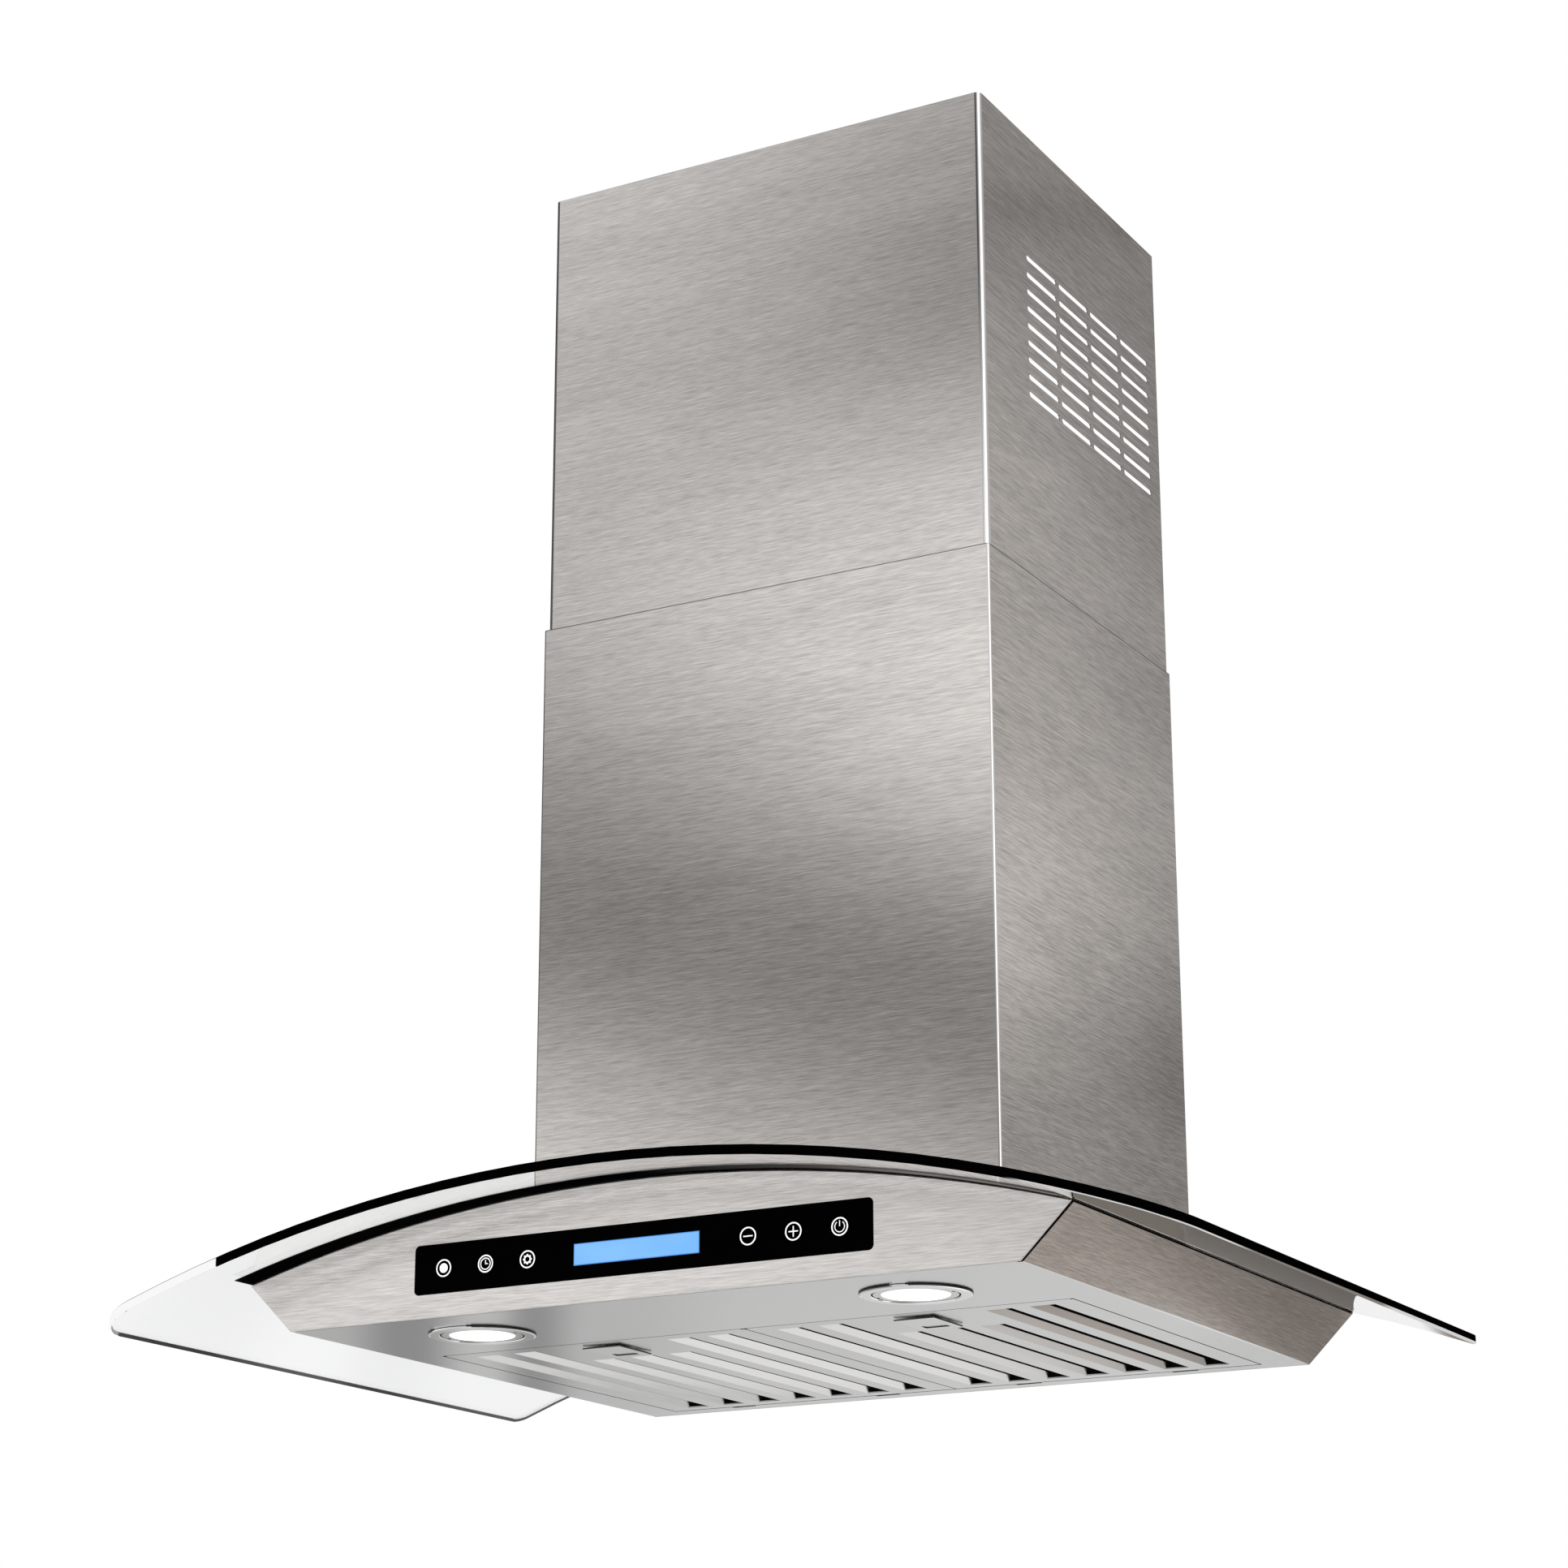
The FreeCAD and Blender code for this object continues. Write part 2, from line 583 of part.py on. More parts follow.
# Arched glass with rounded corners, polished edges and a cut-out for the blower box.
band = new_body("glass_band")
s = new_sketch(band, "glass_section", "XZ_Plane", d.glass_back - 2)
arch_band(s, d.arch_radius, d.arch_radius + d.glass_thick, d.glass_half + 2)
pad(band, "glass_sheet", s, d.glass_front - d.glass_back + 4)
plan = new_body("glass_plan")
s = new_sketch(plan, "glass_outline", "XY_Plane", -80)
rect(s, -d.glass_half, d.glass_half, -d.glass_front, -d.glass_back)
pad(plan, "glass_prism", s, 240)
round_edges(plan, "glass_corners", d.glass_corner, lambda e: upright(e, None, d.glass_front.v))
round_edges(plan, "glass_corners_back", d.glass_corner_back, lambda e: upright(e, d.glass_half.v, d.glass_back.v))
hole = new_body("glass_hole")
s = new_sketch(hole, "cutout_outline", "XY_Plane", -80)
rect(s, -d.hole_half, d.hole_half, -d.hole_front, -d.hole_back)
pad(hole, "cutout_prism", s, 240)
round_edges(hole, "cutout_corners", d.hole_corner, lambda e: upright(e))
blank = cut("glass_blank", common("glass_trimmed", band, plan), [hole])
doc.recompute()


def outer_rim(e):
    """Edges of the outer outline, above and below."""
    middle = e.valueAt((e.FirstParameter + e.LastParameter) / 2)
    if abs(middle.x) < d.hole_half.v + 1 and -d.hole_front.v - 1 < middle.y < -d.hole_back.v + 1:
        return False
    p = ends_of(e)
    return not (len(p) == 2 and abs(p[0].x - p[1].x) < 1e-3 and abs(p[0].y - p[1].y) < 1e-3)


polish = doc.addObject("Part::Fillet", "glass_polished")
polish.Base = blank
polish.Edges = [(i + 1, d.glass_edge.v, d.glass_edge.v) for i, e in enumerate(blank.Shape.Edges) if outer_rim(e)]
doc.recompute()
node(polish, "glass_canopy")

# ------------------------------------------------------------------ chimney

# Lower cover: three sides of one folded sheet, its foot shaped to the glass.
b = new_body("chimney_lower_body")
s = new_sketch(b, "lower_plan", "XY_Plane", 40)
loop(s, [(-d.low_half, -0.2), (-d.low_half, -d.low_front), (d.low_half, -d.low_front), (d.low_half, -0.2),
         (d.low_half - d.skin, -0.2), (d.low_half - d.skin, -d.low_front + d.skin),
         (-d.low_half + d.skin, -d.low_front + d.skin), (-d.low_half + d.skin, -0.2)])
pad(b, "lower_sheet", s, d.low_top - 40)
round_edges(b, "lower_bends_in", d.low_bend - d.skin, lambda e: upright(e, d.low_half.v - d.skin.v, d.low_front.v - d.skin.v))
round_edges(b, "lower_bends_out", d.low_bend, lambda e: upright(e, d.low_half.v, d.low_front.v))


def top_rim(e):
    """Outer upper edge of the lower cover, bends included."""
    p = ends_of(e)
    if len(p) != 2 or any(abs(v.z - d.low_top.v) > 1e-4 for v in p) or e.Length < 1.5:
        return False
    m = e.valueAt((e.FirstParameter + e.LastParameter) / 2)
    if abs(abs(m.x) - d.low_half.v) < 1e-3 or abs(m.y + d.low_front.v) < 1e-3:
        return True
    return e.Curve.TypeId == "Part::GeomCircle" and abs(e.Curve.Radius - d.low_bend.v) < 1e-3


round_edges(b, "lower_top_edge", d.low_rim, top_rim)
s = new_sketch(b, "foot_curve", "XZ_Plane")
circle(s, 0, -d.arch_drop, d.arch_radius + d.glass_thick + 0.4)
pocket(b, "foot", s, 900)
node(b, "chimney_lower")

# Upper cover, which slides inside the lower one, with its vent slots and fixing tabs.
b = new_body("chimney_upper_body")
s = new_sketch(b, "upper_plan", "XY_Plane", d.up_low)
loop(s, [(-d.up_half, -d.up_back), (-d.up_half, -d.up_front), (d.up_half, -d.up_front), (d.up_half, -d.up_back),
         (d.up_half - d.skin, -d.up_back), (d.up_half - d.skin, -d.up_front + d.skin),
         (-d.up_half + d.skin, -d.up_front + d.skin), (-d.up_half + d.skin, -d.up_back)])
pad(b, "upper_sheet", s, d.up_top - d.up_low)
round_edges(b, "upper_bends_in", d.up_bend - d.skin, lambda e: upright(e, d.up_half.v - d.skin.v, d.up_front.v - d.skin.v))
round_edges(b, "upper_bends_out", d.up_bend, lambda e: upright(e, d.up_half.v, d.up_front.v))
s = new_sketch(b, "tab_plan", "XY_Plane", d.tab_low)
for side in (-1, 1):
    rect(s, side * (d.up_half - 0.2), side * (d.up_half - d.tab_wide), -d.up_back - d.skin, -d.up_back)
pad(b, "fixing_tabs", s, d.up_top - d.tab_low - 2)
s = new_sketch(b, "tab_hole_plan", "XZ_Plane", d.up_back)
for side in (-1, 1):
    circle(s, side * 163, (d.bracket_low + d.bracket_high) / 2, 2.1)
pocket(b, "tab_holes", s, 12)
s = new_sketch(b, "vent_row", "YZ_Plane")
for i in range(4):
    slot(s, -d.vent_first + i * d.vent_step, d.vent_low, d.vent_long, d.vent_high)
row = pocket(b, "vents", s, 600)
f = b.newObject("PartDesign::LinearPattern", "vent_rows_pattern")
f.Originals = [row]
f.Direction = (s, ["V_Axis"])
f.setExpression("Length", d.vent_span.e)
f.setExpression("Occurrences", d.vent_rows.e)
b.Tip = f
node(b, "chimney_upper")

# Wall brackets of the upper cover, one at each side.
ears = []
mid = (d.bracket_low + d.bracket_high) / 2
for side in (-1, 1):
    ends = (side * d.bracket_in, side * d.bracket_half)
    plate = box("bracket_plate_%d" % side, ends if side > 0 else ends[::-1], (-2.0, 0), (d.bracket_low, d.bracket_high))
    holes = [cyl("bracket_hole_%d" % side, d.bracket_hole_radius, "Y", side * d.bracket_hole_half, mid, -6, 4),
             cyl("bracket_thread_%d" % side, 2.0, "Y", side * 163, mid, -6, 4)]
    ears.append(cut("bracket_cut_%d" % side, plate, holes))
node(group("chimney_bracket_group", ears), "chimney_bracket")
node(group("chimney_screws_group", [screw("chimney_screw_%d" % side, "Y", side * 163, mid, -0.3, -d.up_back - d.skin - 0.05)
                                    for side in (-1, 1)]), "chimney_screws")

# Clips between the blower box and the lower cover.
clips = []
for side in (-1, 1):
    a = side * (d.box_half + 0.3)
    c = side * (d.low_half - d.skin - 0.4)

    def span(u, v):
        return (u, v) if q(u).v < q(v).v else (v, u)

    foot = box("clip_foot_%d" % side, span(a, c), (-180, -140), (88, 90))
    leg = box("clip_leg_%d" % side, span(a, a + side * 1.6), (-180, -140), (88, 112))
    ear = box("clip_ear_%d" % side, span(c, c - side * 1.6), (-180, -140), (88, 112))
    clips.append(fuse("clip_%d" % side, [foot, leg, ear]))
node(group("chimney_clips_group", clips), "chimney_clips")

# ------------------------------------------------------------------- blower

outer = box("blower_outer", (-d.box_half, d.box_half), (-d.box_front, -d.box_back), (50, d.box_top))
inner = box("blower_inner", (-d.box_half + d.metal, d.box_half - d.metal), (-d.box_front + d.metal, -d.box_back - d.metal), (40, d.box_top - d.metal))
under = cyl("blower_foot", d.arch_radius - d.seat_gap + 0.3, "Y", 0, -d.arch_drop, -400, 100)
mouth = cyl("blower_mouth", d.duct_radius - d.collar_wall, "Z", 0, -d.fan_y, 250, 320)
tools = [inner, under, mouth]
for i, (x, y) in enumerate(((-1, -1), (1, -1), (1, 1), (-1, 1))):
    tools.append(cyl("blower_screw_hole_%d" % i, 2.1, "Z", x * 79, -d.fan_y + y * 79, 280, 300))
node(cut("blower_box_cut", outer, tools), "blower_box")

brackets, bolts = [], []
for i, (x, y) in enumerate(((-1, -227.5), (1, -227.5), (1, -92.5), (-1, -92.5))):
    w = x * (d.box_half + 0.3)
    foot = box("foot_%d" % i, span(w, x * 145.2), (y - 11, y + 11), (64.4, 65.9))
    leg = box("foot_leg_%d" % i, span(w, w + x * 1.5), (y - 11, y + 11), (64.4, 84))
    hole = cyl("foot_hole_%d" % i, 1.7, "Z", x * 141, y, 60, 70)
    brackets.append(cut("foot_bracket_%d" % i, fuse("foot_blank_%d" % i, [foot, leg]), [hole]))
    bolts.append(screw("foot_screw_%d" % i, "Z", x * 141, y, 58.0, 65.95, 2.9, 1.5, 1.9))
node(group("blower_brackets_group", brackets), "blower_brackets")
node(group("blower_screws_group", bolts), "blower_screws")

# Double-inlet scroll with its outlet upwards.
fy, fz = -d.fan_y, d.fan_z
drum = cyl("scroll_drum", d.scroll_radius, "X", fy, fz, -d.scroll_half, d.scroll_half)
spout = box("scroll_spout", (-d.scroll_half, d.scroll_half), (fy - d.scroll_mouth, fy + d.scroll_mouth), (fz, d.box_top - d.metal - 0.4))
hollow = cyl("scroll_hollow", d.scroll_radius - d.metal, "X", fy, fz, -d.scroll_half + d.metal, d.scroll_half - d.metal)
spout_in = box("scroll_spout_in", (-d.scroll_half + d.metal, d.scroll_half - d.metal), (fy - d.scroll_mouth + d.metal, fy + d.scroll_mouth - d.metal), (fz, d.box_top + 5))
inlets = cyl("scroll_inlets", d.inlet_radius, "X", fy, fz, -d.scroll_half - 5, d.scroll_half + 5)
node(cut("scroll_cut", fuse("scroll_blank", [drum, spout]), [hollow, spout_in, inlets]), "fan_scroll")

# Squirrel-cage wheel, drawn about its own axis and placed at the fan axis.
b = new_body("fan_wheel_body")
b.setExpression("Placement.Base.y", fy.e)
b.setExpression("Placement.Base.z", fz.e)
s = new_sketch(b, "wheel_disc", "YZ_Plane")
circle(s, 0, 0, d.wheel_radius)
pad(b, "disc", s, 1.6, both=True)
s = new_sketch(b, "wheel_hub", "YZ_Plane")
circle(s, 0, 0, 10)
pad(b, "hub", s, 18, back=True)
for way in (-1, 1):
    s = new_sketch(b, "wheel_ring_%d" % (way + 1), "YZ_Plane", way * d.wheel_half)
    circle(s, 0, 0, d.wheel_radius)
    circle(s, 0, 0, d.wheel_inner)
    pad(b, "ring_%d" % (way + 1), s, 2.0, back=(way > 0))
s = new_sketch(b, "blade_section", "YZ_Plane")
loop(s, [(d.wheel_inner + 0.3, -2.6), (d.wheel_inner + 0.9, -3.5), (d.wheel_radius - 0.6, 2.0), (d.wheel_radius - 1.2, 2.9)])
blade = pad(b, "blade", s, 2 * d.wheel_half - 1, both=True)
f = b.newObject("PartDesign::PolarPattern", "blade_ring")
f.Originals = [blade]
f.Axis = (s, ["N_Axis"])
f.Angle = 360
f.setExpression("Occurrences", d.blade_count.e)
b.Tip = f
s = new_sketch(b, "hub_bore", "YZ_Plane")
circle(s, 0, 0, d.shaft_radius + 0.02)
pocket(b, "bore", s, 60)
node(b, "fan_wheel")

node(cyl("shaft_rod", d.shaft_radius, "X", fy, fz, -20, 70), "motor_shaft")

can = cyl("motor_can", d.motor_radius, "X", fy, fz, 6, 82)
boss = cyl("motor_boss", 14, "X", fy, fz, 3.2, 86)
bore = cyl("motor_bore", d.shaft_radius + d.running_gap, "X", fy, fz, 0, 74)
fins = []
for i in range(2):
    fins.append(cut("motor_groove_%d" % i, cyl("motor_groove_out_%d" % i, d.motor_radius + 5, "X", fy, fz, 24 + 26 * i, 32 + 26 * i),
                    [cyl("motor_groove_in_%d" % i, d.motor_radius - 2, "X", fy, fz, 20 + 26 * i, 36 + 26 * i)]))
node(cut("motor_cut", fuse("motor_blank", [can, boss]), [bore] + fins), "motor")

# Three-armed motor bracket on the right inlet, with its screws.
arms = [cyl("spider_disc", 22, "X", fy, fz, 86.4, 88.4)]
for i in range(3):
    arm = doc.addObject("Part::Box", "spider_arm_%d" % i)
    arm.Length, arm.Width = 2.0, 16.0
    arm.setExpression("Height", (d.wheel_radius + 4).e)
    arm.Placement = Placement(Vector(86.4, fy.v, fz.v), Rotation(Vector(1, 0, 0), 120 * i)) * Placement(Vector(0, -8, 0), Rotation())
    arms.append(arm)
node(fuse("spider", arms), "motor_bracket")
pegs = []
for i in range(3):
    p = Rotation(Vector(1, 0, 0), 120 * i).multVec(Vector(0, 0, 70))
    pegs.append(cyl("motor_screw_%d" % i, 3.4, "X", fy + p.y, fz + p.z, 88.5, 90.7))
node(group("motor_screws_group", pegs), "motor_screws")
node(fuse("capacitor_blank", [cyl("capacitor_can", 16, "Z", 112, -100, 120, 178), cyl("capacitor_lug", 4, "Z", 112, -100, 178, 184),
                              box("capacitor_strap", (111, 133.6), (-118, -82), (146, 150))]), "run_capacitor")

# Terminal box on the right of the blower box, with its cable gland.
case = box("terminal_case", (d.box_half + 0.3, 164), (-205, -115), (150, 220))
room = box("terminal_room", (d.box_half + 2.3, 162), (-203, -117), (152, 218))
gland_hole = cyl("terminal_gland_hole", 8.1, "Z", 150, -135, 210, 230)
node(cut("terminal_cut", case, [room, gland_hole]), "terminal_box")
gland = fuse("gland_blank", [cyl("gland_thread", 8.0, "Z", 150, -135, 212, 224), cyl("gland_nut", 10.5, "Z", 150, -135, 220.3, 227),
                             cone("gland_dome", 9.2, 6.4, 150, -135, 227, 236)])
node(cut("gland_cut", gland, [cyl("gland_bore", 4.2, "Z", 150, -135, 205, 240)]), "cable_gland")

# Duct collar with its flange, the damper pin and the two damper flaps.
flange = box("collar_flange", (-d.flange_half, d.flange_half), (fy - d.flange_half, fy + d.flange_half), (d.box_top + 0.2, d.box_top + 1.8))
tube = cyl("collar_tube", d.duct_radius, "Z", 0, fy, d.box_top + 0.2, d.collar_top)
bore = cyl("collar_bore", d.duct_radius - d.collar_wall, "Z", 0, fy, 280, 380)
pin_hole = cyl("collar_pin_hole", d.pin_radius + d.running_gap, "Y", 0, d.flap_z, fy - 90, fy + 90)
tools = [bore, pin_hole]
heads = []
for i, (x, y) in enumerate(((-1, -1), (1, -1), (1, 1), (-1, 1))):
    tools.append(cyl("collar_screw_hole_%d" % i, 2.1, "Z", x * 79, fy + y * 79, 280, 300))
    heads.append(screw("collar_screw_%d" % i, "Z", x * 79, fy + y * 79, 286, d.box_top + 1.85))
node(cut("collar_cut", fuse("collar_blank", [flange, tube]), tools), "duct_collar")
node(group("collar_screws_group", heads), "collar_screws")
node(cyl("damper_rod", d.pin_radius, "Y", 0, d.flap_z, fy - d.duct_radius + 0.4, fy + d.duct_radius - 0.4), "damper_pin")

for side, tag, runs in ((-1, "left", ((-60, -31), (1, 29))), (1, "right", ((-29, -1), (31, 60)))):
    low, high = d.flap_z - d.flap_thick / 2, d.flap_z + d.flap_thick / 2
    disc = cyl("flap_disc_" + tag, d.flap_radius, "Z", 0, fy, low, high)
    keep = box("flap_keep_" + tag, span(side * 4.6, side * 80), (fy - 80, fy + 80), (low - 2, high + 2))
    plate = common("flap_plate_" + tag, disc, keep)
    pieces = [plate]
    for k, (p, r) in enumerate(runs):
        pieces.append(cyl("flap_knuckle_%s_%d" % (tag, k), d.knuckle_radius, "Y", 0, d.flap_z, fy + p, fy + r))
        pieces.append(box("flap_web_%s_%d" % (tag, k), span(side * 2.6, side * 5.2), (fy + p, fy + r), (low, high)))
    rod = cyl("flap_bore_" + tag, d.pin_radius + d.running_gap, "Y", 0, d.flap_z, fy - 90, fy + 90)
    node(cut("flap_cut_" + tag, fuse("flap_blank_" + tag, pieces), [rod]), "damper_flap_" + tag)

# ----------------------------------------------------------------- controls

b = new_body("touch_panel_body")
s = new_sketch(b, "panel_outline", "XZ_Plane", d.canopy_front + d.panel_proud - d.panel_thick)
rect(s, -d.panel_half, d.panel_half, d.panel_low, d.panel_high)
pad(b, "panel_sheet", s, d.panel_thick)
round_edges(b, "panel_corners", d.panel_corner,
            lambda e: len(ends_of(e)) == 2 and abs(ends_of(e)[0].y - ends_of(e)[1].y) > 0.5)
round_edges(b, "panel_edges", 0.3,
            lambda e: all(abs(p.y + d.canopy_front.v + d.panel_proud.v) < 1e-4 for p in ends_of(e)))
s = new_sketch(b, "screen_outline", "XZ_Plane", d.canopy_front)
rect(s, -d.screen_half - 0.15, d.screen_half + 0.15, d.screen_low - 0.15, d.screen_high + 0.15)
pocket(b, "screen_window", s, 12)
node(b, "touch_panel")

b = new_body("display_body")
s = new_sketch(b, "display_outline", "XZ_Plane", d.canopy_front + d.panel_proud - d.panel_thick)
rect(s, -d.screen_half, d.screen_half, d.screen_low, d.screen_high)
pad(b, "display_sheet", s, d.panel_thick - 0.05)
node(b, "display_window")

case = box("control_case", (-164, 164), (-446.0, -426), (d.panel_low + 0.4, d.panel_high + 1.4))
room = box("control_room", (-162.4, 162.4), (-450, -427.6), (d.panel_low + 2, d.panel_high - 0.2))
plug = box("control_plug", (120, 140), (-430, -420), (d.panel_low + 8, d.panel_low + 18))
node(cut("control_cut", case, [room, plug]), "control_housing")
board = box("board_plate", (-158, 158), (-441.6, -440), (d.panel_low + 3, d.panel_high - 1.5))
chips = [box("board_chip_a", (-60, -42), (-440.1, -437.6), (24, 38)), box("board_chip_b", (30, 42), (-440.1, -438), (26, 38)),
         box("board_plug", (121, 139), (-440.1, -431), (d.panel_low + 9, d.panel_low + 17)), cyl("board_cap", 4, "Y", 84, 31, -440.1, -430.5)]
node(fuse("board", [board] + chips), "control_board")

node(fuse("driver", [box("driver_case", (-42, 42), (-412, -374), (1.4, 24)), box("driver_ear_l", (-54, -41), (-404, -382), (1.4, 3.2)),
                     box("driver_ear_r", (41, 54), (-404, -382), (1.4, 3.2))]), "lamp_driver")

# -------------------------------------------------------------------- lamps

for side, tag in ((-1, "left"), (1, "right")):
    x, y = side * d.lamp_x, -d.lamp_y
    b = new_body("lamp_trim_body_" + tag)
    b.setExpression("Placement.Base.x", x.e)
    b.setExpression("Placement.Base.y", y.e)
    s = new_sketch(b, "trim_section_" + tag, "XZ_Plane")
    loop(s, [(d.trim_bore, -d.trim_deep + 0.5), (d.trim_bore + 0.6, -d.trim_deep), (d.trim_radius - 1.4, -d.trim_deep),
             (d.trim_radius - 0.3, -d.trim_deep + 0.45), (d.trim_radius, -d.trim_deep + 0.9), (d.trim_radius, -0.25),
             (d.lamp_neck, -0.25), (d.lamp_neck, 7.0), (d.trim_bore, 7.0)])
    f = b.newObject("PartDesign::Revolution", "trim_turned_" + tag)
    f.Profile = s
    f.ReferenceAxis = (s, ["V_Axis"])
    f.Angle = 360
    b.Tip = f
    node(b, "lamp_trim_" + tag)

    ring = cyl("ring_out_" + tag, d.ring_radius, "Z", x, y, -d.trim_deep + 0.5, -0.35)
    notch = [cyl("ring_in_" + tag, d.lens_radius + 0.2, "Z", x, y, -8, 4)]
    for way in (-1, 1):
        notch.append(box("ring_notch_%s_%d" % (tag, way), (x + way * d.ring_radius - 1.7, x + way * d.ring_radius + 1.7), (y - 1.5, y + 1.5), (-8, 4)))
    node(cut("ring_cut_" + tag, ring, notch), "lamp_ring_" + tag)
    lens = fuse("lens_blank_" + tag, [cyl("lens_disc_" + tag, d.lens_radius, "Z", x, y, -d.trim_deep + 0.6, -0.35),
                                      cone("lens_dome_" + tag, d.lens_radius - 1.0, d.lens_radius, x, y, -d.trim_deep + 0.3, -d.trim_deep + 0.6)])
    node(lens, "lamp_lens_" + tag)
    can = fuse("can_blank_" + tag, [cyl("can_body_" + tag, d.trim_bore - 0.3, "Z", x, y, -0.1, 15), cyl("can_step_" + tag, 19, "Z", x, y, 15, 21),
                                    cyl("can_plug_" + tag, 5, "Z", x, y, 21, 25)])
    node(can, "lamp_can_" + tag)
clips = []
for side in (-1, 1):
    for way in (-1, 1):
        x = side * d.lamp_x
        a = x + way * (d.lamp_neck + 0.15)
        up = box("spring_leg_%d_%d" % (side, way), span(a, a + way * 0.5), (-d.lamp_y - 4, -d.lamp_y + 4), (1.6, 6.6))
        out = box("spring_foot_%d_%d" % (side, way), span(a, a + way * 11), (-d.lamp_y - 4, -d.lamp_y + 4), (1.3, 1.8))
        clips.append(fuse("spring_%d_%d" % (side, way), [up, out]))
node(group("lamp_clips_group", clips), "lamp_clips")

# ------------------------------------------------------------------ filters

LONG = (0, 1, 5, 6)
for side, tag in ((-1, "left"), (1, "right")):
    # Lower pan: sheet with a sloped louvre at the left of every slot, a rim, and rolled hooks at the back.
    b = new_body("filter_pan_body_" + tag)
    s = new_sketch(b, "pan_plan_" + tag, "XY_Plane")
    rect(s, side * d.seam_half, side * d.filter_out, -d.filter_front, -d.filter_back)
    pad(b, "pan_sheet_" + tag, s, d.pan_sheet)
    s = new_sketch(b, "rim_plan_" + tag, "XY_Plane")
    rect(s, side * d.seam_half, side * d.filter_out, -d.filter_front, -d.filter_back)
    rect(s, side * (d.seam_half + d.pan_sheet), side * (d.filter_out - d.pan_sheet), -d.filter_front + d.pan_sheet, -d.filter_back - d.pan_sheet)
    pad(b, "rim_" + tag, s, d.pan_high)
    s = new_sketch(b, "slots_plan_" + tag, "XY_Plane")
    for i in range(7):
        a = d.slot_first + i * d.slot_step
        rect(s, side * a, side * (a + d.slot_wide), -(d.slot_front if i in LONG else d.slot_short), -d.slot_back)
    c = side * d.latch_x
    rect(s, c - 5.5, c + 5.5, -292.5, -275.0)
    pocket(b, "slots_" + tag, s, 4)
    for kind, front in (("long", d.slot_front), ("short", d.slot_short)):
        s = new_sketch(b, "louvre_section_%s_%s" % (kind, tag), "XZ_Plane", d.slot_back)
        for i in range(7):
            if (i in LONG) == (kind == "long"):
                a = d.slot_first + i * d.slot_step
                e = a if side > 0 else -(a + d.slot_wide)
                loop(s, [(e - d.louvre_thick, 0), (e, 0), (e + d.louvre_run, d.louvre_high), (e + d.louvre_run - d.louvre_thick, d.louvre_high)])
        pad(b, "louvres_%s_%s" % (kind, tag), s, front - d.slot_back)
    s = new_sketch(b, "stop_plan_" + tag, "XY_Plane")
    rect(s, c - 5, c + 5, -260.2, -259.0)
    pad(b, "spring_stop_" + tag, s, 8.2)
    s = new_sketch(b, "corner_plan_" + tag, "XY_Plane")
    for u in (d.seam_half, d.filter_out - 1.7):
        rect(s, side * (u - 0.3 if u is d.seam_half else u), side * (u + 1.7 if u is d.seam_half else u + 2.2), -d.filter_front - 0.5, -d.filter_front + 1.7)
    pocket(b, "corner_reliefs_" + tag, s, 7)
    s = new_sketch(b, "tongue_window_" + tag, "XZ_Plane", d.filter_front)
    rect(s, c - 8.5, c + 8.5, 1.6, 5.2)
    pocket(b, "tongue_slot_" + tag, s, 6)
    for k, x in enumerate((d.hook_first, d.hook_second)):
        s = new_sketch(b, "hook_tab_%s_%d" % (tag, k), "XY_Plane", d.hook_z - 0.5)
        rect(s, side * x - d.hook_tab, side * x + d.hook_tab, -d.filter_back - 0.4, -d.hook_y)
        pad(b, "hook_web_%s_%d" % (tag, k), s, 1.0)
        s = new_sketch(b, "hook_roll_%s_%d" % (tag, k), "YZ_Plane", side * x)
        circle(s, -d.hook_y, d.hook_z, d.hook_radius)
        pad(b, "hook_bead_%s_%d" % (tag, k), s, 2 * d.hook_half, both=True)
    node(b, "filter_pan_" + tag)

    # Upper baffles: one inverted channel over each slot, joined by two straps.
    b = new_body("filter_baffles_body_" + tag)
    s = new_sketch(b, "channel_section_" + tag, "XZ_Plane", d.filter_back + d.pan_sheet + 0.25)
    for i in range(7):
        m = side * (d.slot_first + i * d.slot_step + d.slot_wide / 2)
        w, t = d.baffle_half, d.pan_sheet
        loop(s, [(m - w, d.baffle_low), (m - w + t, d.baffle_low), (m - w + t, d.baffle_high - t), (m + w - t, d.baffle_high - t),
                 (m + w - t, d.baffle_low), (m + w, d.baffle_low), (m + w, d.baffle_high), (m - w, d.baffle_high)])
    pad(b, "channels_" + tag, s, d.filter_front - d.filter_back - 2 * d.pan_sheet - 0.5)
    s = new_sketch(b, "straps_plan_" + tag, "XY_Plane", d.baffle_high - 0.4)
    for y in (60, 262):
        rect(s, side * (d.slot_first - 3), side * (d.slot_first + 6 * d.slot_step + d.slot_wide + 3), -y - 12, -y)
    pad(b, "straps_" + tag, s, 1.3)
    node(b, "filter_baffles_" + tag)

    # Latch: finger plate under the filter, stem through it, tongue above.
    low, high = -d.latch_low, -d.latch_gap
    plate = box("latch_plate_" + tag, (c - d.latch_half, c + d.latch_half), (-d.latch_front, -d.latch_back), (low, high))
    stem = box("latch_stem_" + tag, (c - 5, c + 5), (-292, -282), (high - 0.2, 2.2))
    tongue = box("latch_tongue_" + tag, (c - 8, c + 8), (-d.filter_front - 0.2, -281), (2.0, 4.8))
    grip = box("latch_grip_" + tag, (c - 8.5, c + 8.5), (-278.5, -270.5), (low - 1, high + 1))
    node(cut("latch_cut_" + tag, fuse("latch_blank_" + tag, [plate, stem, tongue]), [grip]), "filter_latch_" + tag)

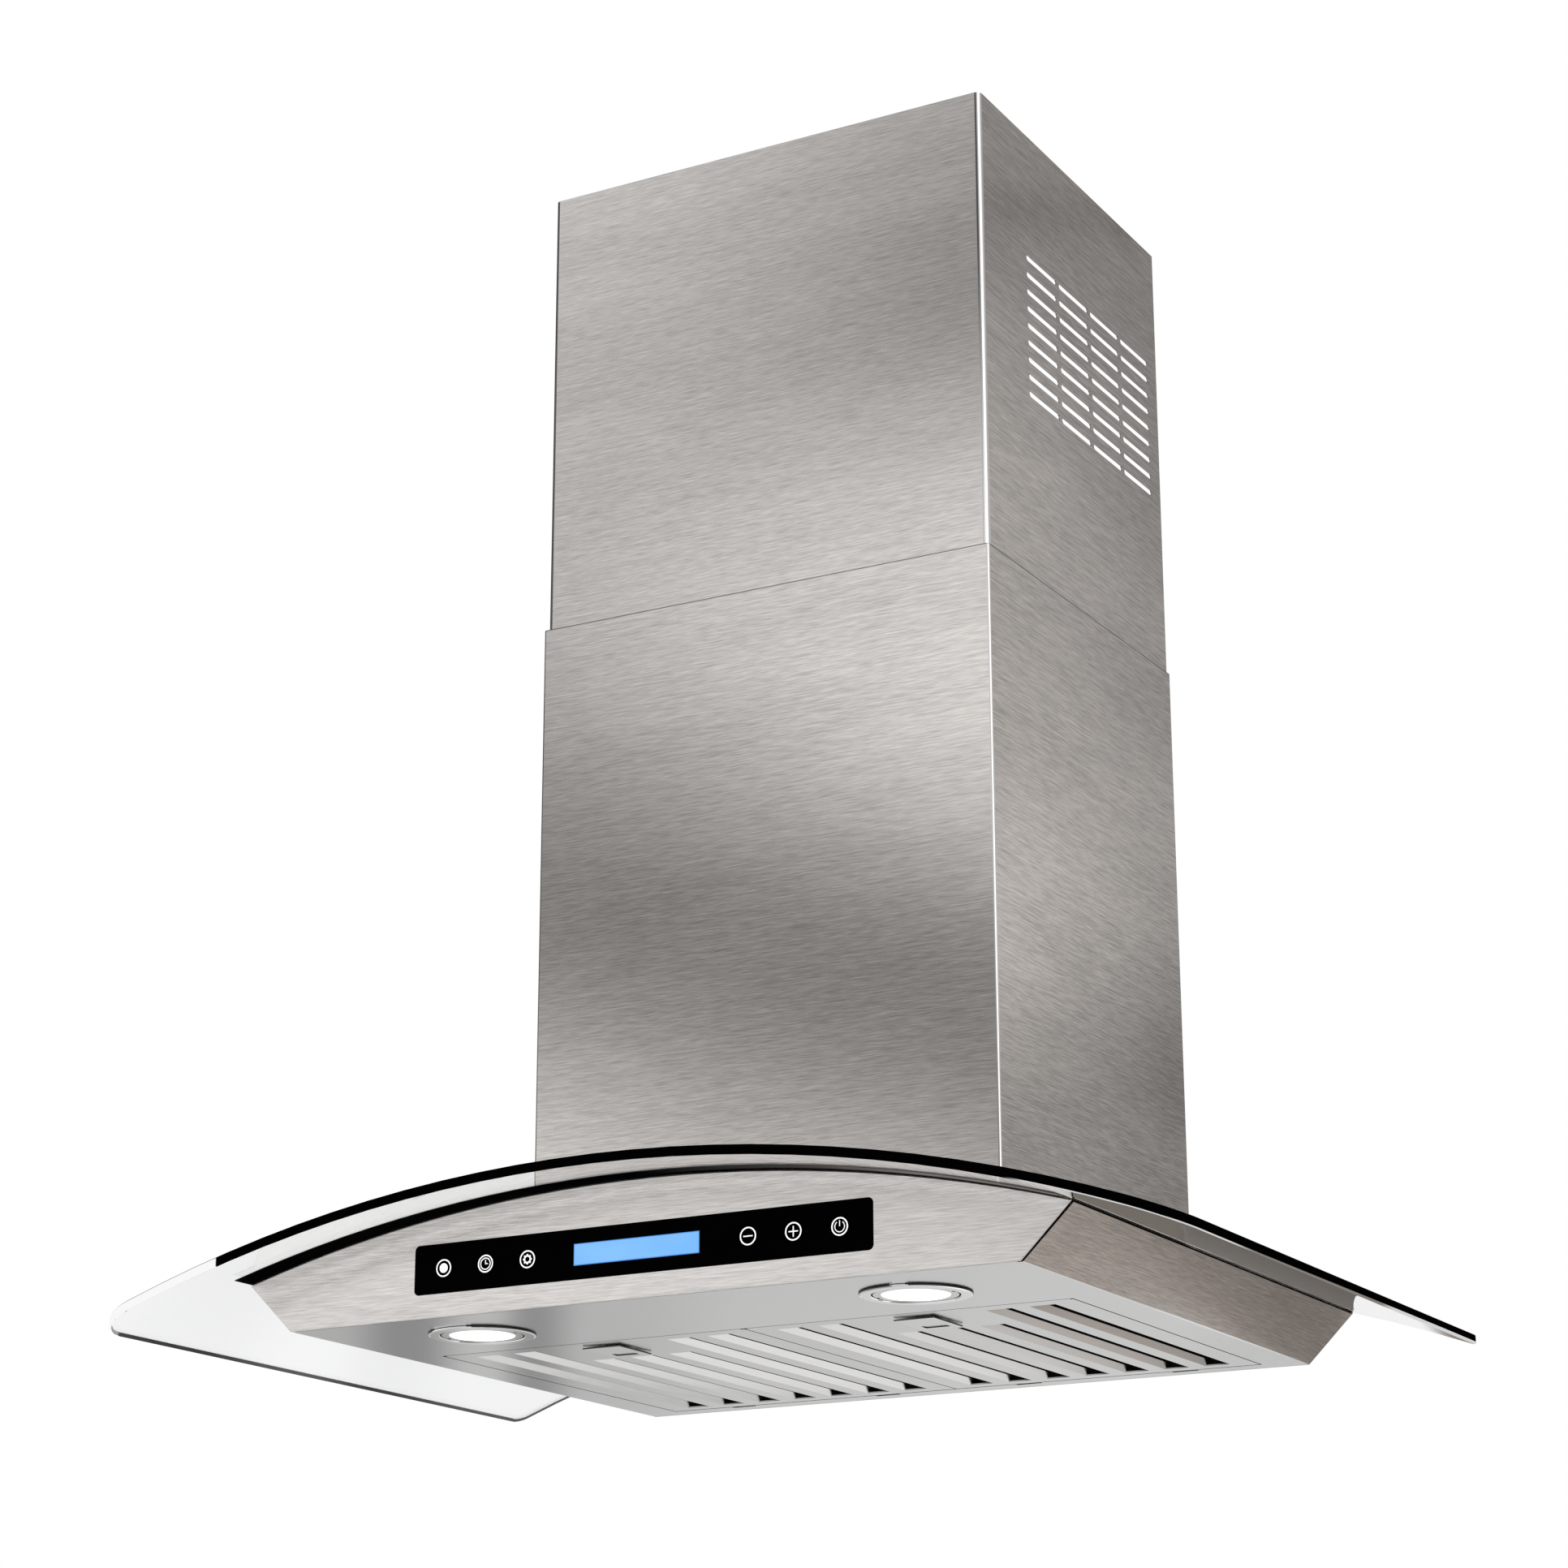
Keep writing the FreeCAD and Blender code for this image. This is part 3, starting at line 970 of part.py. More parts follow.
    # Coil spring between the tongue and its stop on the pan.
    helix = doc.addObject("Part::Helix", "spring_path_" + tag)
    helix.Pitch, helix.Height, helix.Radius = 3.4, 17.0, 2.2
    ring = doc.addObject("Part::Circle", "spring_wire_" + tag)
    ring.Radius = 0.4
    ring.Placement = Placement(Vector(2.2, 0, 0), Rotation(Vector(1, 0, 0), 90))
    doc.recompute()
    coil = doc.addObject("Part::Sweep", "spring_coil_" + tag)
    coil.Sections = [ring]
    coil.Spine = (helix, ["Edge%d" % (i + 1) for i in range(len(helix.Shape.Edges))])
    coil.Solid = True
    coil.Frenet = True
    coil.Placement = Placement(Vector(c.v, -279.2, 4.4), Rotation(Vector(1, 0, 0), -90))
    coil.setExpression("Placement.Base.x", c.e)
    node(coil, "latch_spring_" + tag)

# Rail behind the filter hooks.
node(fuse("rail", [box("rail_foot", (-226, 226), (-12.6, -5), (1.3, 2.3)), box("rail_wall", (-226, 226), (-12.6, -11.6), (1.3, 9))]), "filter_rail")

# ------------------------------------------------------------------- export

doc.recompute()
for o in doc.Objects:
    if any(flag in o.State for flag in ("Invalid", "Error")):
        raise RuntimeError("%s (%s) is in state %s" % (o.Name, o.Label, o.State))
for o in NODES:
    if o.Shape.isNull() or not o.Shape.isValid() or o.Shape.Volume <= 0 or not o.Shape.Solids:
        raise RuntimeError("%s has no valid solid" % o.Label)

os.makedirs("parts", exist_ok=True)
for name in os.listdir("parts"):
    if name.endswith(".step"):
        os.remove(os.path.join("parts", name))
for o in NODES:
    o.Shape.exportStep(os.path.join("parts", o.Label + ".step"))
    box_ = o.Shape.BoundBox
    print("%-22s solids %d volume %.0f mm3  x %.1f..%.1f y %.1f..%.1f z %.1f..%.1f" % (
        o.Label, len(o.Shape.Solids), o.Shape.Volume, box_.XMin, box_.XMax, box_.YMin, box_.YMax, box_.ZMin, box_.ZMax))
print(len(NODES), "pieces")
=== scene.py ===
import math

import bmesh
import bpy
from mathutils import Matrix, Vector


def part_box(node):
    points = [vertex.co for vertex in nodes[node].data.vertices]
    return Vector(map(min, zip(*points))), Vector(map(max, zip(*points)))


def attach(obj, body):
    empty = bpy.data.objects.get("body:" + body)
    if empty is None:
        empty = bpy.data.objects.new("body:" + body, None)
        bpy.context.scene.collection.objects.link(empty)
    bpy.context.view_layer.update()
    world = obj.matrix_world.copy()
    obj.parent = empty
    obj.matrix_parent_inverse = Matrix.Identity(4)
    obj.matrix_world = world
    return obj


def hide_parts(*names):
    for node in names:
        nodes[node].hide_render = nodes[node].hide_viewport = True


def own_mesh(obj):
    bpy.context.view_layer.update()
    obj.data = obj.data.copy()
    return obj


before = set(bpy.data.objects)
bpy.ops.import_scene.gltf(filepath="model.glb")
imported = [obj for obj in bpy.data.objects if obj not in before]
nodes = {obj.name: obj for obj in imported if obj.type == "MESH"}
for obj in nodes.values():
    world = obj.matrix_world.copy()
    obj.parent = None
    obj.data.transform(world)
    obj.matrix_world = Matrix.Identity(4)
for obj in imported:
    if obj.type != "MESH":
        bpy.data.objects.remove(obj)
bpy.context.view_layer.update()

scene = bpy.context.scene


# ---------------------------------------------------------------- camera
lens_px, frame_px = 4492.73, 1932.0
camera_data = bpy.data.cameras.new("photo_camera")
camera_data.sensor_fit = "HORIZONTAL"
camera_data.sensor_width = 36.0
camera_data.lens = lens_px / frame_px * 36.0
camera_data.shift_x = 0.0007
camera_data.clip_start = 0.05
camera_data.clip_end = 200.0
camera = bpy.data.objects.new("photo_camera", camera_data)
scene.collection.objects.link(camera)
camera.matrix_world = Matrix((
    (0.87420123, 0.14881974, 0.46219574, 1.13525),
    (0.48556058, -0.26446004, -0.83324174, -2.31229),
    (-0.00177051, 0.95284499, -0.30345229, -0.37037),
    (0.0, 0.0, 0.0, 1.0),
))
scene.camera = camera
scene.view_settings.view_transform = "Standard"
scene.view_settings.look = "None"


# ---------------------------------------------------------------- node helpers
class Tree:
    """A node tree with short calls for the nodes that the finishes use."""

    def __init__(self, owner):
        owner.use_nodes = True
        self.nt = owner.node_tree
        self.nt.nodes.clear()

    def new(self, kind, **settings):
        n = self.nt.nodes.new(kind)
        for key, value in settings.items():
            setattr(n, key, value)
        return n

    def put(self, socket, value):
        if isinstance(value, bpy.types.NodeSocket):
            self.nt.links.new(value, socket)
        else:
            socket.default_value = value

    def math(self, op, a, b=0.0, clamp=False):
        n = self.new("ShaderNodeMath", operation=op, use_clamp=clamp)
        self.put(n.inputs[0], a)
        self.put(n.inputs[1], b)
        return n.outputs[0]

    def dot(self, a, b):
        n = self.new("ShaderNodeVectorMath", operation="DOT_PRODUCT")
        self.put(n.inputs[0], a)
        self.put(n.inputs[1], b)
        return n.outputs["Value"]

    def split(self, vector):
        n = self.new("ShaderNodeSeparateXYZ")
        self.put(n.inputs[0], vector)
        return n.outputs

    def span(self, value, low, high, to_low=0.0, to_high=1.0, smooth=True):
        n = self.new("ShaderNodeMapRange", interpolation_type="SMOOTHSTEP" if smooth else "LINEAR", clamp=True)
        self.put(n.inputs["Value"], value)
        for name, v in (("From Min", low), ("From Max", high), ("To Min", to_low), ("To Max", to_high)):
            self.put(n.inputs[name], v)
        return n.outputs["Result"]

    def mix(self, fac, a, b, blend="MIX"):
        n = self.new("ShaderNodeMix", data_type="RGBA", blend_type=blend, clamp_factor=True)
        self.put(n.inputs[0], fac)
        self.put(n.inputs[6], a)
        self.put(n.inputs[7], b)
        return n.outputs[2]

    def ramp(self, fac, stops):
        n = self.new("ShaderNodeValToRGB")
        n.color_ramp.interpolation = "B_SPLINE" if len(stops) > 4 else "EASE"
        while len(n.color_ramp.elements) < len(stops):
            n.color_ramp.elements.new(0.5)
        for e, (p, c) in zip(n.color_ramp.elements, sorted(stops)):
            e.position = p
            e.color = c if len(c) == 4 else (*c, 1.0)
        self.put(n.inputs[0], fac)
        return n.outputs[0]


class Finish(Tree):
    """A material with one Principled shader and object coordinates in metres."""

    def __init__(self, name):
        self.m = bpy.data.materials.new(name)
        super().__init__(self.m)
        out = self.new("ShaderNodeOutputMaterial")
        self.b = self.new("ShaderNodeBsdfPrincipled")
        self.nt.links.new(self.b.outputs[0], out.inputs[0])
        self.co = self.new("ShaderNodeTexCoord").outputs["Object"]

    def set(self, **values):
        for key, value in values.items():
            self.put(self.b.inputs[key.replace("_", " ")], value)
        return self

    def noise(self, scale, detail=3.0, rough=0.55, at=(0.0, 0.0, 0.0), distort=0.0):
        place = self.new("ShaderNodeMapping")
        self.put(place.inputs["Vector"], self.co)
        place.inputs["Scale"].default_value = scale
        place.inputs["Location"].default_value = at
        n = self.new("ShaderNodeTexNoise", noise_dimensions="3D")
        self.put(n.inputs["Vector"], place.outputs[0])
        n.inputs["Scale"].default_value = 1.0
        n.inputs["Detail"].default_value = detail
        n.inputs["Roughness"].default_value = rough
        n.inputs["Distortion"].default_value = distort
        return n.outputs[0]

    def cells(self, scale, out="Color"):
        place = self.new("ShaderNodeMapping")
        self.put(place.inputs["Vector"], self.co)
        place.inputs["Scale"].default_value = scale
        n = self.new("ShaderNodeTexVoronoi")
        self.put(n.inputs["Vector"], place.outputs[0])
        n.inputs["Scale"].default_value = 1.0
        return n.outputs[out]

    def bump(self, height, strength, distance):
        n = self.new("ShaderNodeBump")
        n.inputs["Strength"].default_value = strength
        n.inputs["Distance"].default_value = distance
        self.put(n.inputs["Height"], height)
        self.put(self.b.inputs["Normal"], n.outputs[0])
        return self

    def grain_tangent(self, axis):
        n = self.new("ShaderNodeTangent", direction_type="RADIAL", axis=axis)
        self.put(self.b.inputs["Tangent"], n.outputs[0])
        return self


def brushed(name, tone, along, fine, contrast=1.0, rough=0.2, aniso=0.55, axis="Z", at=(0.0, 0.0, 0.0), long=42.0, shade_top=None, shade_share=0.42, fade=0.0003):
    """Brushed stainless sheet. along: which axes the scratches run along, as a 3-vector of 0 and 1; fine and long:
    scratch density across and along them, per metre; shade_top: height of the top edge, below which the tone is painted
    darker as shade; shade_share: the tone's share left in that painted shade; fade: height over which it sets in.
    """
    f = Finish(name)

    def scale(lengthwise, cross):
        return tuple(lengthwise if a else cross for a in along)

    hair = f.noise(scale(long, fine), 3.0, 0.6, at)
    streak = f.noise(scale(long * 0.40, fine * 0.60), 2.0, 0.55, (at[0] + 3.1, at[1] + 1.7, at[2] + 5.3))
    cloud = f.noise(scale(5.0, 26.0), 2.0, 0.5, (at[0] + 7.7, at[1] + 2.2, at[2] + 0.9))
    h = f.span(hair, 0.30, 0.70, -1.0, 1.0, smooth=False)
    s = f.span(streak, 0.30, 0.70, -1.0, 1.0, smooth=False)
    c = f.span(cloud, 0.30, 0.70, -1.0, 1.0, smooth=False)
    worn = f.math("ADD", f.math("MULTIPLY", h, 0.30), f.math("ADD", f.math("MULTIPLY", s, 0.15), f.math("MULTIPLY", c, 0.06)))
    worn = f.math("ADD", f.math("MULTIPLY", worn, contrast), 0.5, clamp=True)
    dark = tuple(v * 0.74 for v in tone)
    light = tuple(min(1.0, v * 1.26) for v in tone)
    colour = f.mix(worn, (*dark, 1.0), (*light, 1.0))
    # Painted shade: just below the top height the tone darkens to its given share, setting in over the fade height.
    if shade_top:
        colour = f.mix(f.span(f.split(f.co)[2], shade_top - 0.0008 - fade, shade_top - 0.0008), colour, tuple(v * shade_share for v in tone) + (1.0,))
    f.set(
        Base_Color=colour,
        Metallic=1.0,
        Roughness=f.span(hair, 0.25, 0.75, rough - 0.035, rough + 0.045, smooth=False),
        Anisotropic=aniso,
    )
    f.bump(hair, 0.03 * contrast, 0.00012)
    f.grain_tangent(axis)
    return f.m


def satin(name, tone, rough=0.26, fine=900.0, contrast=0.35, axis="Z", along=(0, 1, 0)):
    return brushed(name, tone, along, fine, contrast, rough, 0.25, axis, (11.0, 4.0, 2.0))


def moulded(name, colour, rough=0.4, speck=2600.0, spread=0.10, specular=0.5, coat=0.0):
    """Moulded plastic or paint: a fine texture, slight tone drift and uneven gloss."""
    f = Finish(name)
    fine = f.noise((speck, speck, speck), 2.0, 0.5)
    slow = f.noise((14.0, 14.0, 14.0), 3.0, 0.5, (5.0, 2.0, 8.0))
    dark = tuple(v * (1.0 - spread) for v in colour)
    light = tuple(min(1.0, v * (1.0 + spread)) for v in colour)
    both = f.math("ADD", f.math("MULTIPLY", fine, 0.5), f.math("MULTIPLY", slow, 0.5))
    f.set(
        Base_Color=f.mix(f.span(both, 0.35, 0.65), (*dark, 1.0), (*light, 1.0)),
        Roughness=f.span(slow, 0.3, 0.7, rough - 0.05, rough + 0.05),
        Specular_IOR_Level=specular,
        Coat_Weight=coat,
    )
    f.bump(fine, 0.12, 0.00008)
    return f.m


# ---------------------------------------------------------------- finishes
STEEL = (0.640, 0.612, 0.590)
finish = {}
finish["chimney"] = brushed("brushed_steel_chimney", STEEL, (1, 1, 0), 1750.0, 1.38, 0.20, 0.55, long=78.0)
# Painted shadow: the lower cover's front and sides darken in a thin band just under their top edge, where the upper
# cover rises behind them.
finish["chimney_base"] = brushed("brushed_steel_chimney_base", STEEL, (1, 1, 0), 1750.0, 1.38, 0.20, 0.55, long=78.0, shade_top=0.5053)
finish["chimney_base_side"] = brushed("brushed_steel_chimney_base_side", STEEL, (1, 1, 0), 1750.0, 1.95, 0.20, 0.55, at=(1.0, 3.0, 5.0), long=62.0, shade_top=0.5053, shade_share=0.14)
finish["chimney_side"] = brushed("brushed_steel_chimney_side", STEEL, (1, 1, 0), 1750.0, 1.95, 0.20, 0.55, at=(1.0, 3.0, 5.0), long=62.0)
# Copies of the steel for the chimney's front bends: a bright one as painted highlight, a dark one as painted shade, and
# a half tone that darkens towards the top as painted shade.
finish["bend"] = satin("polished_bend", (0.970, 0.965, 0.960), 0.10, 1100.0, 0.10)
finish["bend_shade"] = satin("shaded_bend", (0.160, 0.154, 0.148), 0.35, 1100.0, 0.20)
finish["bend_soft"] = brushed("soft_bend", (0.560, 0.541, 0.525), (0, 1, 0), 1100.0, 0.20, 0.30, 0.25, at=(11.0, 4.0, 2.0), shade_top=0.74, shade_share=0.30, fade=0.13)
finish["fascia"] = brushed("brushed_steel_fascia", (0.665, 0.640, 0.620), (1, 1, 0), 1750.0, 1.10, 0.21, 0.55, at=(2.0, 6.0, 1.0), long=75.0)
finish["canopy"] = satin("satin_steel_canopy", (0.640, 0.632, 0.628), 0.17, 1100.0, 0.20)
finish["canopy_side"] = brushed("brushed_steel_canopy_side", (0.640, 0.626, 0.612), (0, 1, 0), 1600.0, 1.50, 0.20, 0.35, long=60.0, at=(4.0, 1.0, 9.0))
finish["latch"] = satin("satin_steel_latch", (0.690, 0.680, 0.672), 0.16, 1200.0, 0.25)
# Dark copy of the latch steel, painted shade for the plate sides.
finish["latch_edge"] = satin("satin_steel_latch_edge", (0.085, 0.082, 0.080), 0.40, 1200.0, 0.25)
finish["filter"] = satin("filter_steel", (0.640, 0.634, 0.628), 0.19, 1100.0, 0.22)
finish["baffle"] = satin("filter_steel_shaded", (0.028, 0.027, 0.026), 0.50, 1100.0, 0.25)
finish["deck"] = satin("satin_steel_deck", (0.560, 0.555, 0.550), 0.32, 700.0, 0.50)

g = Finish("galvanised_sheet")
spangle = g.split(g.cells((70.0, 70.0, 70.0)))[0]
slow = g.noise((22.0, 22.0, 22.0), 4.0, 0.6)
both = g.math("ADD", g.math("MULTIPLY", spangle, 0.6), g.math("MULTIPLY", slow, 0.4))
g.set(Base_Color=g.mix(both, (0.40, 0.41, 0.42, 1.0), (0.63, 0.64, 0.65, 1.0)), Metallic=1.0, Roughness=g.span(both, 0.2, 0.8, 0.34, 0.52))
g.bump(slow, 0.05, 0.0004)
finish["galvanised"] = g.m

z = Finish("zinc_fastener")
n = z.noise((900.0, 900.0, 900.0), 3.0, 0.6)
z.set(Base_Color=z.mix(z.span(n, 0.3, 0.7), (0.46, 0.47, 0.49, 1.0), (0.72, 0.72, 0.71, 1.0)), Metallic=1.0, Roughness=z.span(n, 0.3, 0.7, 0.24, 0.40))
z.bump(n, 0.10, 0.00005)
finish["zinc"] = z.m

s = Finish("spring_steel")
n = s.noise((300.0, 2500.0, 300.0), 3.0, 0.6)
s.set(Base_Color=s.mix(s.span(n, 0.3, 0.7), (0.34, 0.34, 0.35, 1.0), (0.56, 0.56, 0.57, 1.0)), Metallic=1.0, Roughness=s.span(n, 0.3, 0.7, 0.20, 0.34))
s.bump(n, 0.08, 0.00004)
finish["spring"] = s.m

# Glass sheet: clear faces; its edges are painted black, standing in for a dark reflection, with a painted highlight
# along a length at the front left corner and a painted reflection along the lower rim to the right.
gl = Finish("clear_glass")
smear = gl.noise((40.0, 12.0, 40.0), 4.0, 0.6)
gl.set(
    Base_Color=gl.mix(smear, (0.980, 0.986, 0.985, 1.0), (0.990, 0.993, 0.993, 1.0)),
    Transmission_Weight=1.0,
    IOR=1.46,
    Roughness=gl.span(smear, 0.35, 0.75, 0.0, 0.003),
    Coat_Weight=gl.span(gl.split(gl.co)[0], 0.270, 0.290),
    Coat_Roughness=0.0,
)
finish["glass"] = gl.m

ge = Finish("glass_edge")
n = ge.noise((300.0, 300.0, 300.0), 2.0, 0.5)
ex, ey, ez = ge.split(ge.co)
tilt = ge.split(ge.new("ShaderNodeNewGeometry").outputs["Normal"])[2]
# Painted highlight: a bright length of edge at the front left corner.
bright = ge.math("MULTIPLY", ge.math("MULTIPLY", ge.span(ex, -0.2762, -0.2772), ge.span(ey, -0.4720, -0.4750)), ge.span(tilt, 0.50, 0.35))
lift = ge.math("ADD", ez, 0.9636)
radius = ge.math("SQRT", ge.math("ADD", ge.math("MULTIPLY", ex, ex), ge.math("MULTIPLY", lift, lift)))
height = ge.math("SUBTRACT", radius, 1.0367)
# Painted reflection along the lower rim on the right: grey, and brownish over the middle of the right side, mirroring
# the body side below.
beside = ge.span(ex, 0.362, 0.370)
limit = ge.math("ADD", 0.0006, ge.math("MULTIPLY", beside, ge.span(ey, -0.46, -0.06, 0.0002, 0.0013)))
rim = ge.math("MULTIPLY", ge.math("LESS_THAN", height, limit), ge.span(ex, 0.270, 0.285))
far = ge.math("MULTIPLY", beside, ge.math("MULTIPLY", ge.span(ey, -0.43, -0.39), ge.span(ey, -0.16, -0.19)))
rim_reflection_tone = ge.mix(far, (0.66, 0.65, 0.64, 1.0), (0.225, 0.205, 0.188, 1.0))
# Everywhere else the edge is painted near black as a dark reflection.
black = ge.mix(n, (0.0002, 0.0002, 0.0002, 1.0), (0.0012, 0.0012, 0.0012, 1.0))
ge.set(Base_Color=ge.mix(rim, ge.mix(bright, black, (0.93, 0.935, 0.93, 1.0)), rim_reflection_tone), Roughness=ge.span(n, 0.3, 0.7, 0.45, 0.60), Specular_IOR_Level=0.0)
finish["glass_edge"] = ge.m

b = Finish("black_gloss")
n = b.noise((60.0, 60.0, 60.0), 3.0, 0.5)
b.set(Base_Color=b.mix(n, (0.0002, 0.0002, 0.0002, 1.0), (0.0007, 0.0007, 0.0008, 1.0)), Roughness=b.span(n, 0.3, 0.7, 0.05, 0.09), Specular_IOR_Level=0.004)
finish["panel"] = b.m

b = Finish("black_gloss_strip")
n = b.noise((50.0, 90.0, 50.0), 3.0, 0.5)
b.set(Base_Color=b.mix(n, (0.0012, 0.0012, 0.0012, 1.0), (0.0040, 0.0038, 0.0036, 1.0)), Roughness=b.span(n, 0.3, 0.7, 0.16, 0.22), Specular_IOR_Level=0.5)
finish["strip"] = b.m

finish["seal"] = moulded("seal_rubber", (0.0025, 0.0024, 0.0023), 0.60, 1800.0, 0.30, 0.0)
finish["black_plastic"] = moulded("black_plastic", (0.020, 0.020, 0.021), 0.42, 2400.0, 0.20)
finish["white_plastic"] = moulded("white_plastic", (0.74, 0.73, 0.70), 0.38, 2400.0, 0.06)
finish["motor"] = moulded("motor_paint", (0.045, 0.050, 0.056), 0.36, 1500.0, 0.25, 0.5, 0.15)
finish["capacitor"] = moulded("capacitor_case", (0.62, 0.63, 0.62), 0.34, 2000.0, 0.06)
finish["icon"] = None

# Lit display: pale blue field, a little deeper towards its border.
dsp = Finish("display_blue")
x, y, zz = dsp.split(dsp.co)
rim = dsp.math("MINIMUM",
    dsp.span(dsp.math("ABSOLUTE", x), 0.0442, 0.0434),
    dsp.math("MULTIPLY", dsp.span(zz, 0.0235, 0.0243), dsp.span(zz, 0.0368, 0.0360)))
wash = dsp.noise((18.0, 18.0, 30.0), 2.0, 0.5)
field = dsp.mix(dsp.span(wash, 0.35, 0.65), (0.200, 0.495, 0.960, 1.0), (0.245, 0.545, 1.0, 1.0))
glow = dsp.mix(rim, (0.060, 0.215, 0.60, 1.0), field)
dsp.set(Base_Color=dsp.mix(rim, (0.004, 0.012, 0.030, 1.0), (0.010, 0.022, 0.045, 1.0)), Roughness=dsp.span(wash, 0.3, 0.7, 0.10, 0.16),
        Specular_IOR_Level=0.10, Emission_Color=glow, Emission_Strength=1.0)
finish["display"] = dsp.m

# White symbols on the panel, which also give off a faint glow.
ic = Finish("printed_icon")
n = ic.noise((900.0, 900.0, 900.0), 2.0, 0.5)
tone = ic.mix(ic.span(n, 0.3, 0.7), (0.90, 0.90, 0.90, 1.0), (1.0, 1.0, 1.0, 1.0))
ic.set(Base_Color=tone, Roughness=ic.span(n, 0.3, 0.7, 0.40, 0.55), Specular_IOR_Level=0.2, Emission_Color=tone, Emission_Strength=0.35)
finish["icon"] = ic.m

# Lamp: turned satin trim, darker inner ring, opal lens lit from behind.
finish["trim"] = satin("lamp_trim_steel", (0.92, 0.912, 0.905), 0.12, 1100.0, 0.18)
# Dark copy of the trim steel, painted shade for the trims' outer walls.
finish["trim_wall"] = satin("lamp_trim_wall", (0.060, 0.059, 0.058), 0.40, 1100.0, 0.25)
finish["ring"] = satin("lamp_ring_steel", (0.66, 0.655, 0.65), 0.16, 1100.0, 0.18)
ln = Finish("lamp_lens")
n = ln.noise((500.0, 500.0, 500.0), 2.0, 0.5)
lx, ly, lz = ln.split(ln.co)
off = ln.new("ShaderNodeCombineXYZ")
ln.put(off.inputs[0], ln.math("SUBTRACT", ln.math("ABSOLUTE", lx), 0.1546))
ln.put(off.inputs[1], ln.math("ADD", ly, 0.382))
away = ln.new("ShaderNodeVectorMath", operation="LENGTH")
ln.put(away.inputs[0], off.outputs[0])
warm = ln.span(away.outputs["Value"], 0.0185, 0.0210)
ln.set(Base_Color=ln.mix(n, (0.80, 0.80, 0.79, 1.0), (0.88, 0.88, 0.87, 1.0)), Roughness=ln.span(n, 0.3, 0.7, 0.35, 0.5),
       Emission_Color=ln.mix(warm, (1.0, 0.995, 0.985, 1.0), (0.10, 0.099, 0.097, 1.0)), Emission_Strength=2.6)
finish["lens"] = ln.m
# The lamp can is near black, painted shade for the gap seen around the ring.
finish["can"] = satin("lamp_can_painted_shade", (0.050, 0.050, 0.051), 0.40, 500.0, 0.30)

pc = Finish("circuit_board")
grid = pc.new("ShaderNodeTexBrick")
place = pc.new("ShaderNodeMapping")
pc.put(place.inputs["Vector"], pc.co)
place.inputs["Rotation"].default_value = (math.pi / 2, 0.0, 0.0)
pc.put(grid.inputs["Vector"], place.outputs[0])
grid.inputs["Scale"].default_value = 160.0
grid.inputs["Mortar Size"].default_value = 0.06
grid.inputs["Color1"].default_value = (0.010, 0.085, 0.030, 1.0)
grid.inputs["Color2"].default_value = (0.014, 0.110, 0.042, 1.0)
grid.inputs["Mortar"].default_value = (0.040, 0.170, 0.070, 1.0)
pc.set(Base_Color=grid.outputs[0], Roughness=pc.span(grid.outputs[1], 0.0, 1.0, 0.35, 0.25))
pc.bump(grid.outputs[1], 0.15, 0.00005)
finish["board"] = pc.m

al = Finish("fan_aluminium")
n = al.noise((260.0, 60.0, 60.0), 3.0, 0.6)
al.set(Base_Color=al.mix(al.span(n, 0.3, 0.7), (0.54, 0.55, 0.56, 1.0), (0.70, 0.71, 0.72, 1.0)), Metallic=1.0, Roughness=al.span(n, 0.3, 0.7, 0.30, 0.44))
al.bump(n, 0.06, 0.0001)
finish["aluminium"] = al.m

wear = {
    "canopy": ["canopy_shell"],
    "deck": ["top_deck"],
    "latch": ["filter_latch_left", "filter_latch_right"],
    "fascia": ["front_fascia"],
    "chimney": ["chimney_upper"],
    "chimney_base": ["chimney_lower"],
    "galvanised": ["back_panel", "chimney_bracket", "chimney_clips", "blower_box", "blower_brackets", "fan_scroll", "motor_bracket", "filter_rail"],
    "zinc": ["chimney_screws", "blower_screws", "motor_screws", "collar_screws"],
    "spring": ["motor_shaft", "damper_pin", "lamp_clips", "latch_spring_left", "latch_spring_right"],
    "glass": ["glass_canopy"],
    "strip": ["front_strip"],
    "panel": ["touch_panel"],
    "seal": ["side_seals"],
    "display": ["display_window"],
    "trim": ["lamp_trim_left", "lamp_trim_right"],
    "ring": ["lamp_ring_left", "lamp_ring_right"],
    "lens": ["lamp_lens_left", "lamp_lens_right"],
    "can": ["lamp_can_left", "lamp_can_right"],
    "black_plastic": ["cable_gland", "duct_collar", "control_housing"],
    "white_plastic": ["terminal_box", "lamp_driver"],
    "board": ["control_board"],
    "motor": ["motor"],
    "aluminium": ["fan_wheel", "damper_flap_left", "damper_flap_right"],
    "capacitor": ["run_capacitor"],
    "filter": ["filter_pan_left", "filter_pan_right", "filter_baffles_left", "filter_baffles_right"],
}
for key, names in wear.items():
    for name in names:
        held = nodes[name]
        if not held.material_slots:
            held.data.materials.append(finish[key])
        for place in held.material_slots:
            place.material = finish[key]


# The edge faces run all round the glass and carry the painted dark reflection, highlight and rim reflection.
sheet = nodes["glass_canopy"].data
sheet.materials.append(finish["glass_edge"])
for face in sheet.polygons:
    middle = face.center
    up = Vector((middle.x, 0.0, middle.z + 0.9636)).normalized()
    if abs(face.normal.dot(up)) < 0.985:
        face.material_index = 1

# The sloped sides of the body are brushed along their length.
skin = nodes["canopy_shell"].data
skin.materials.append(finish["canopy_side"])
for face in skin.polygons:
    if abs(face.center.x) > 0.2562 and abs(face.normal.x) > 0.4:
        face.material_index = 1

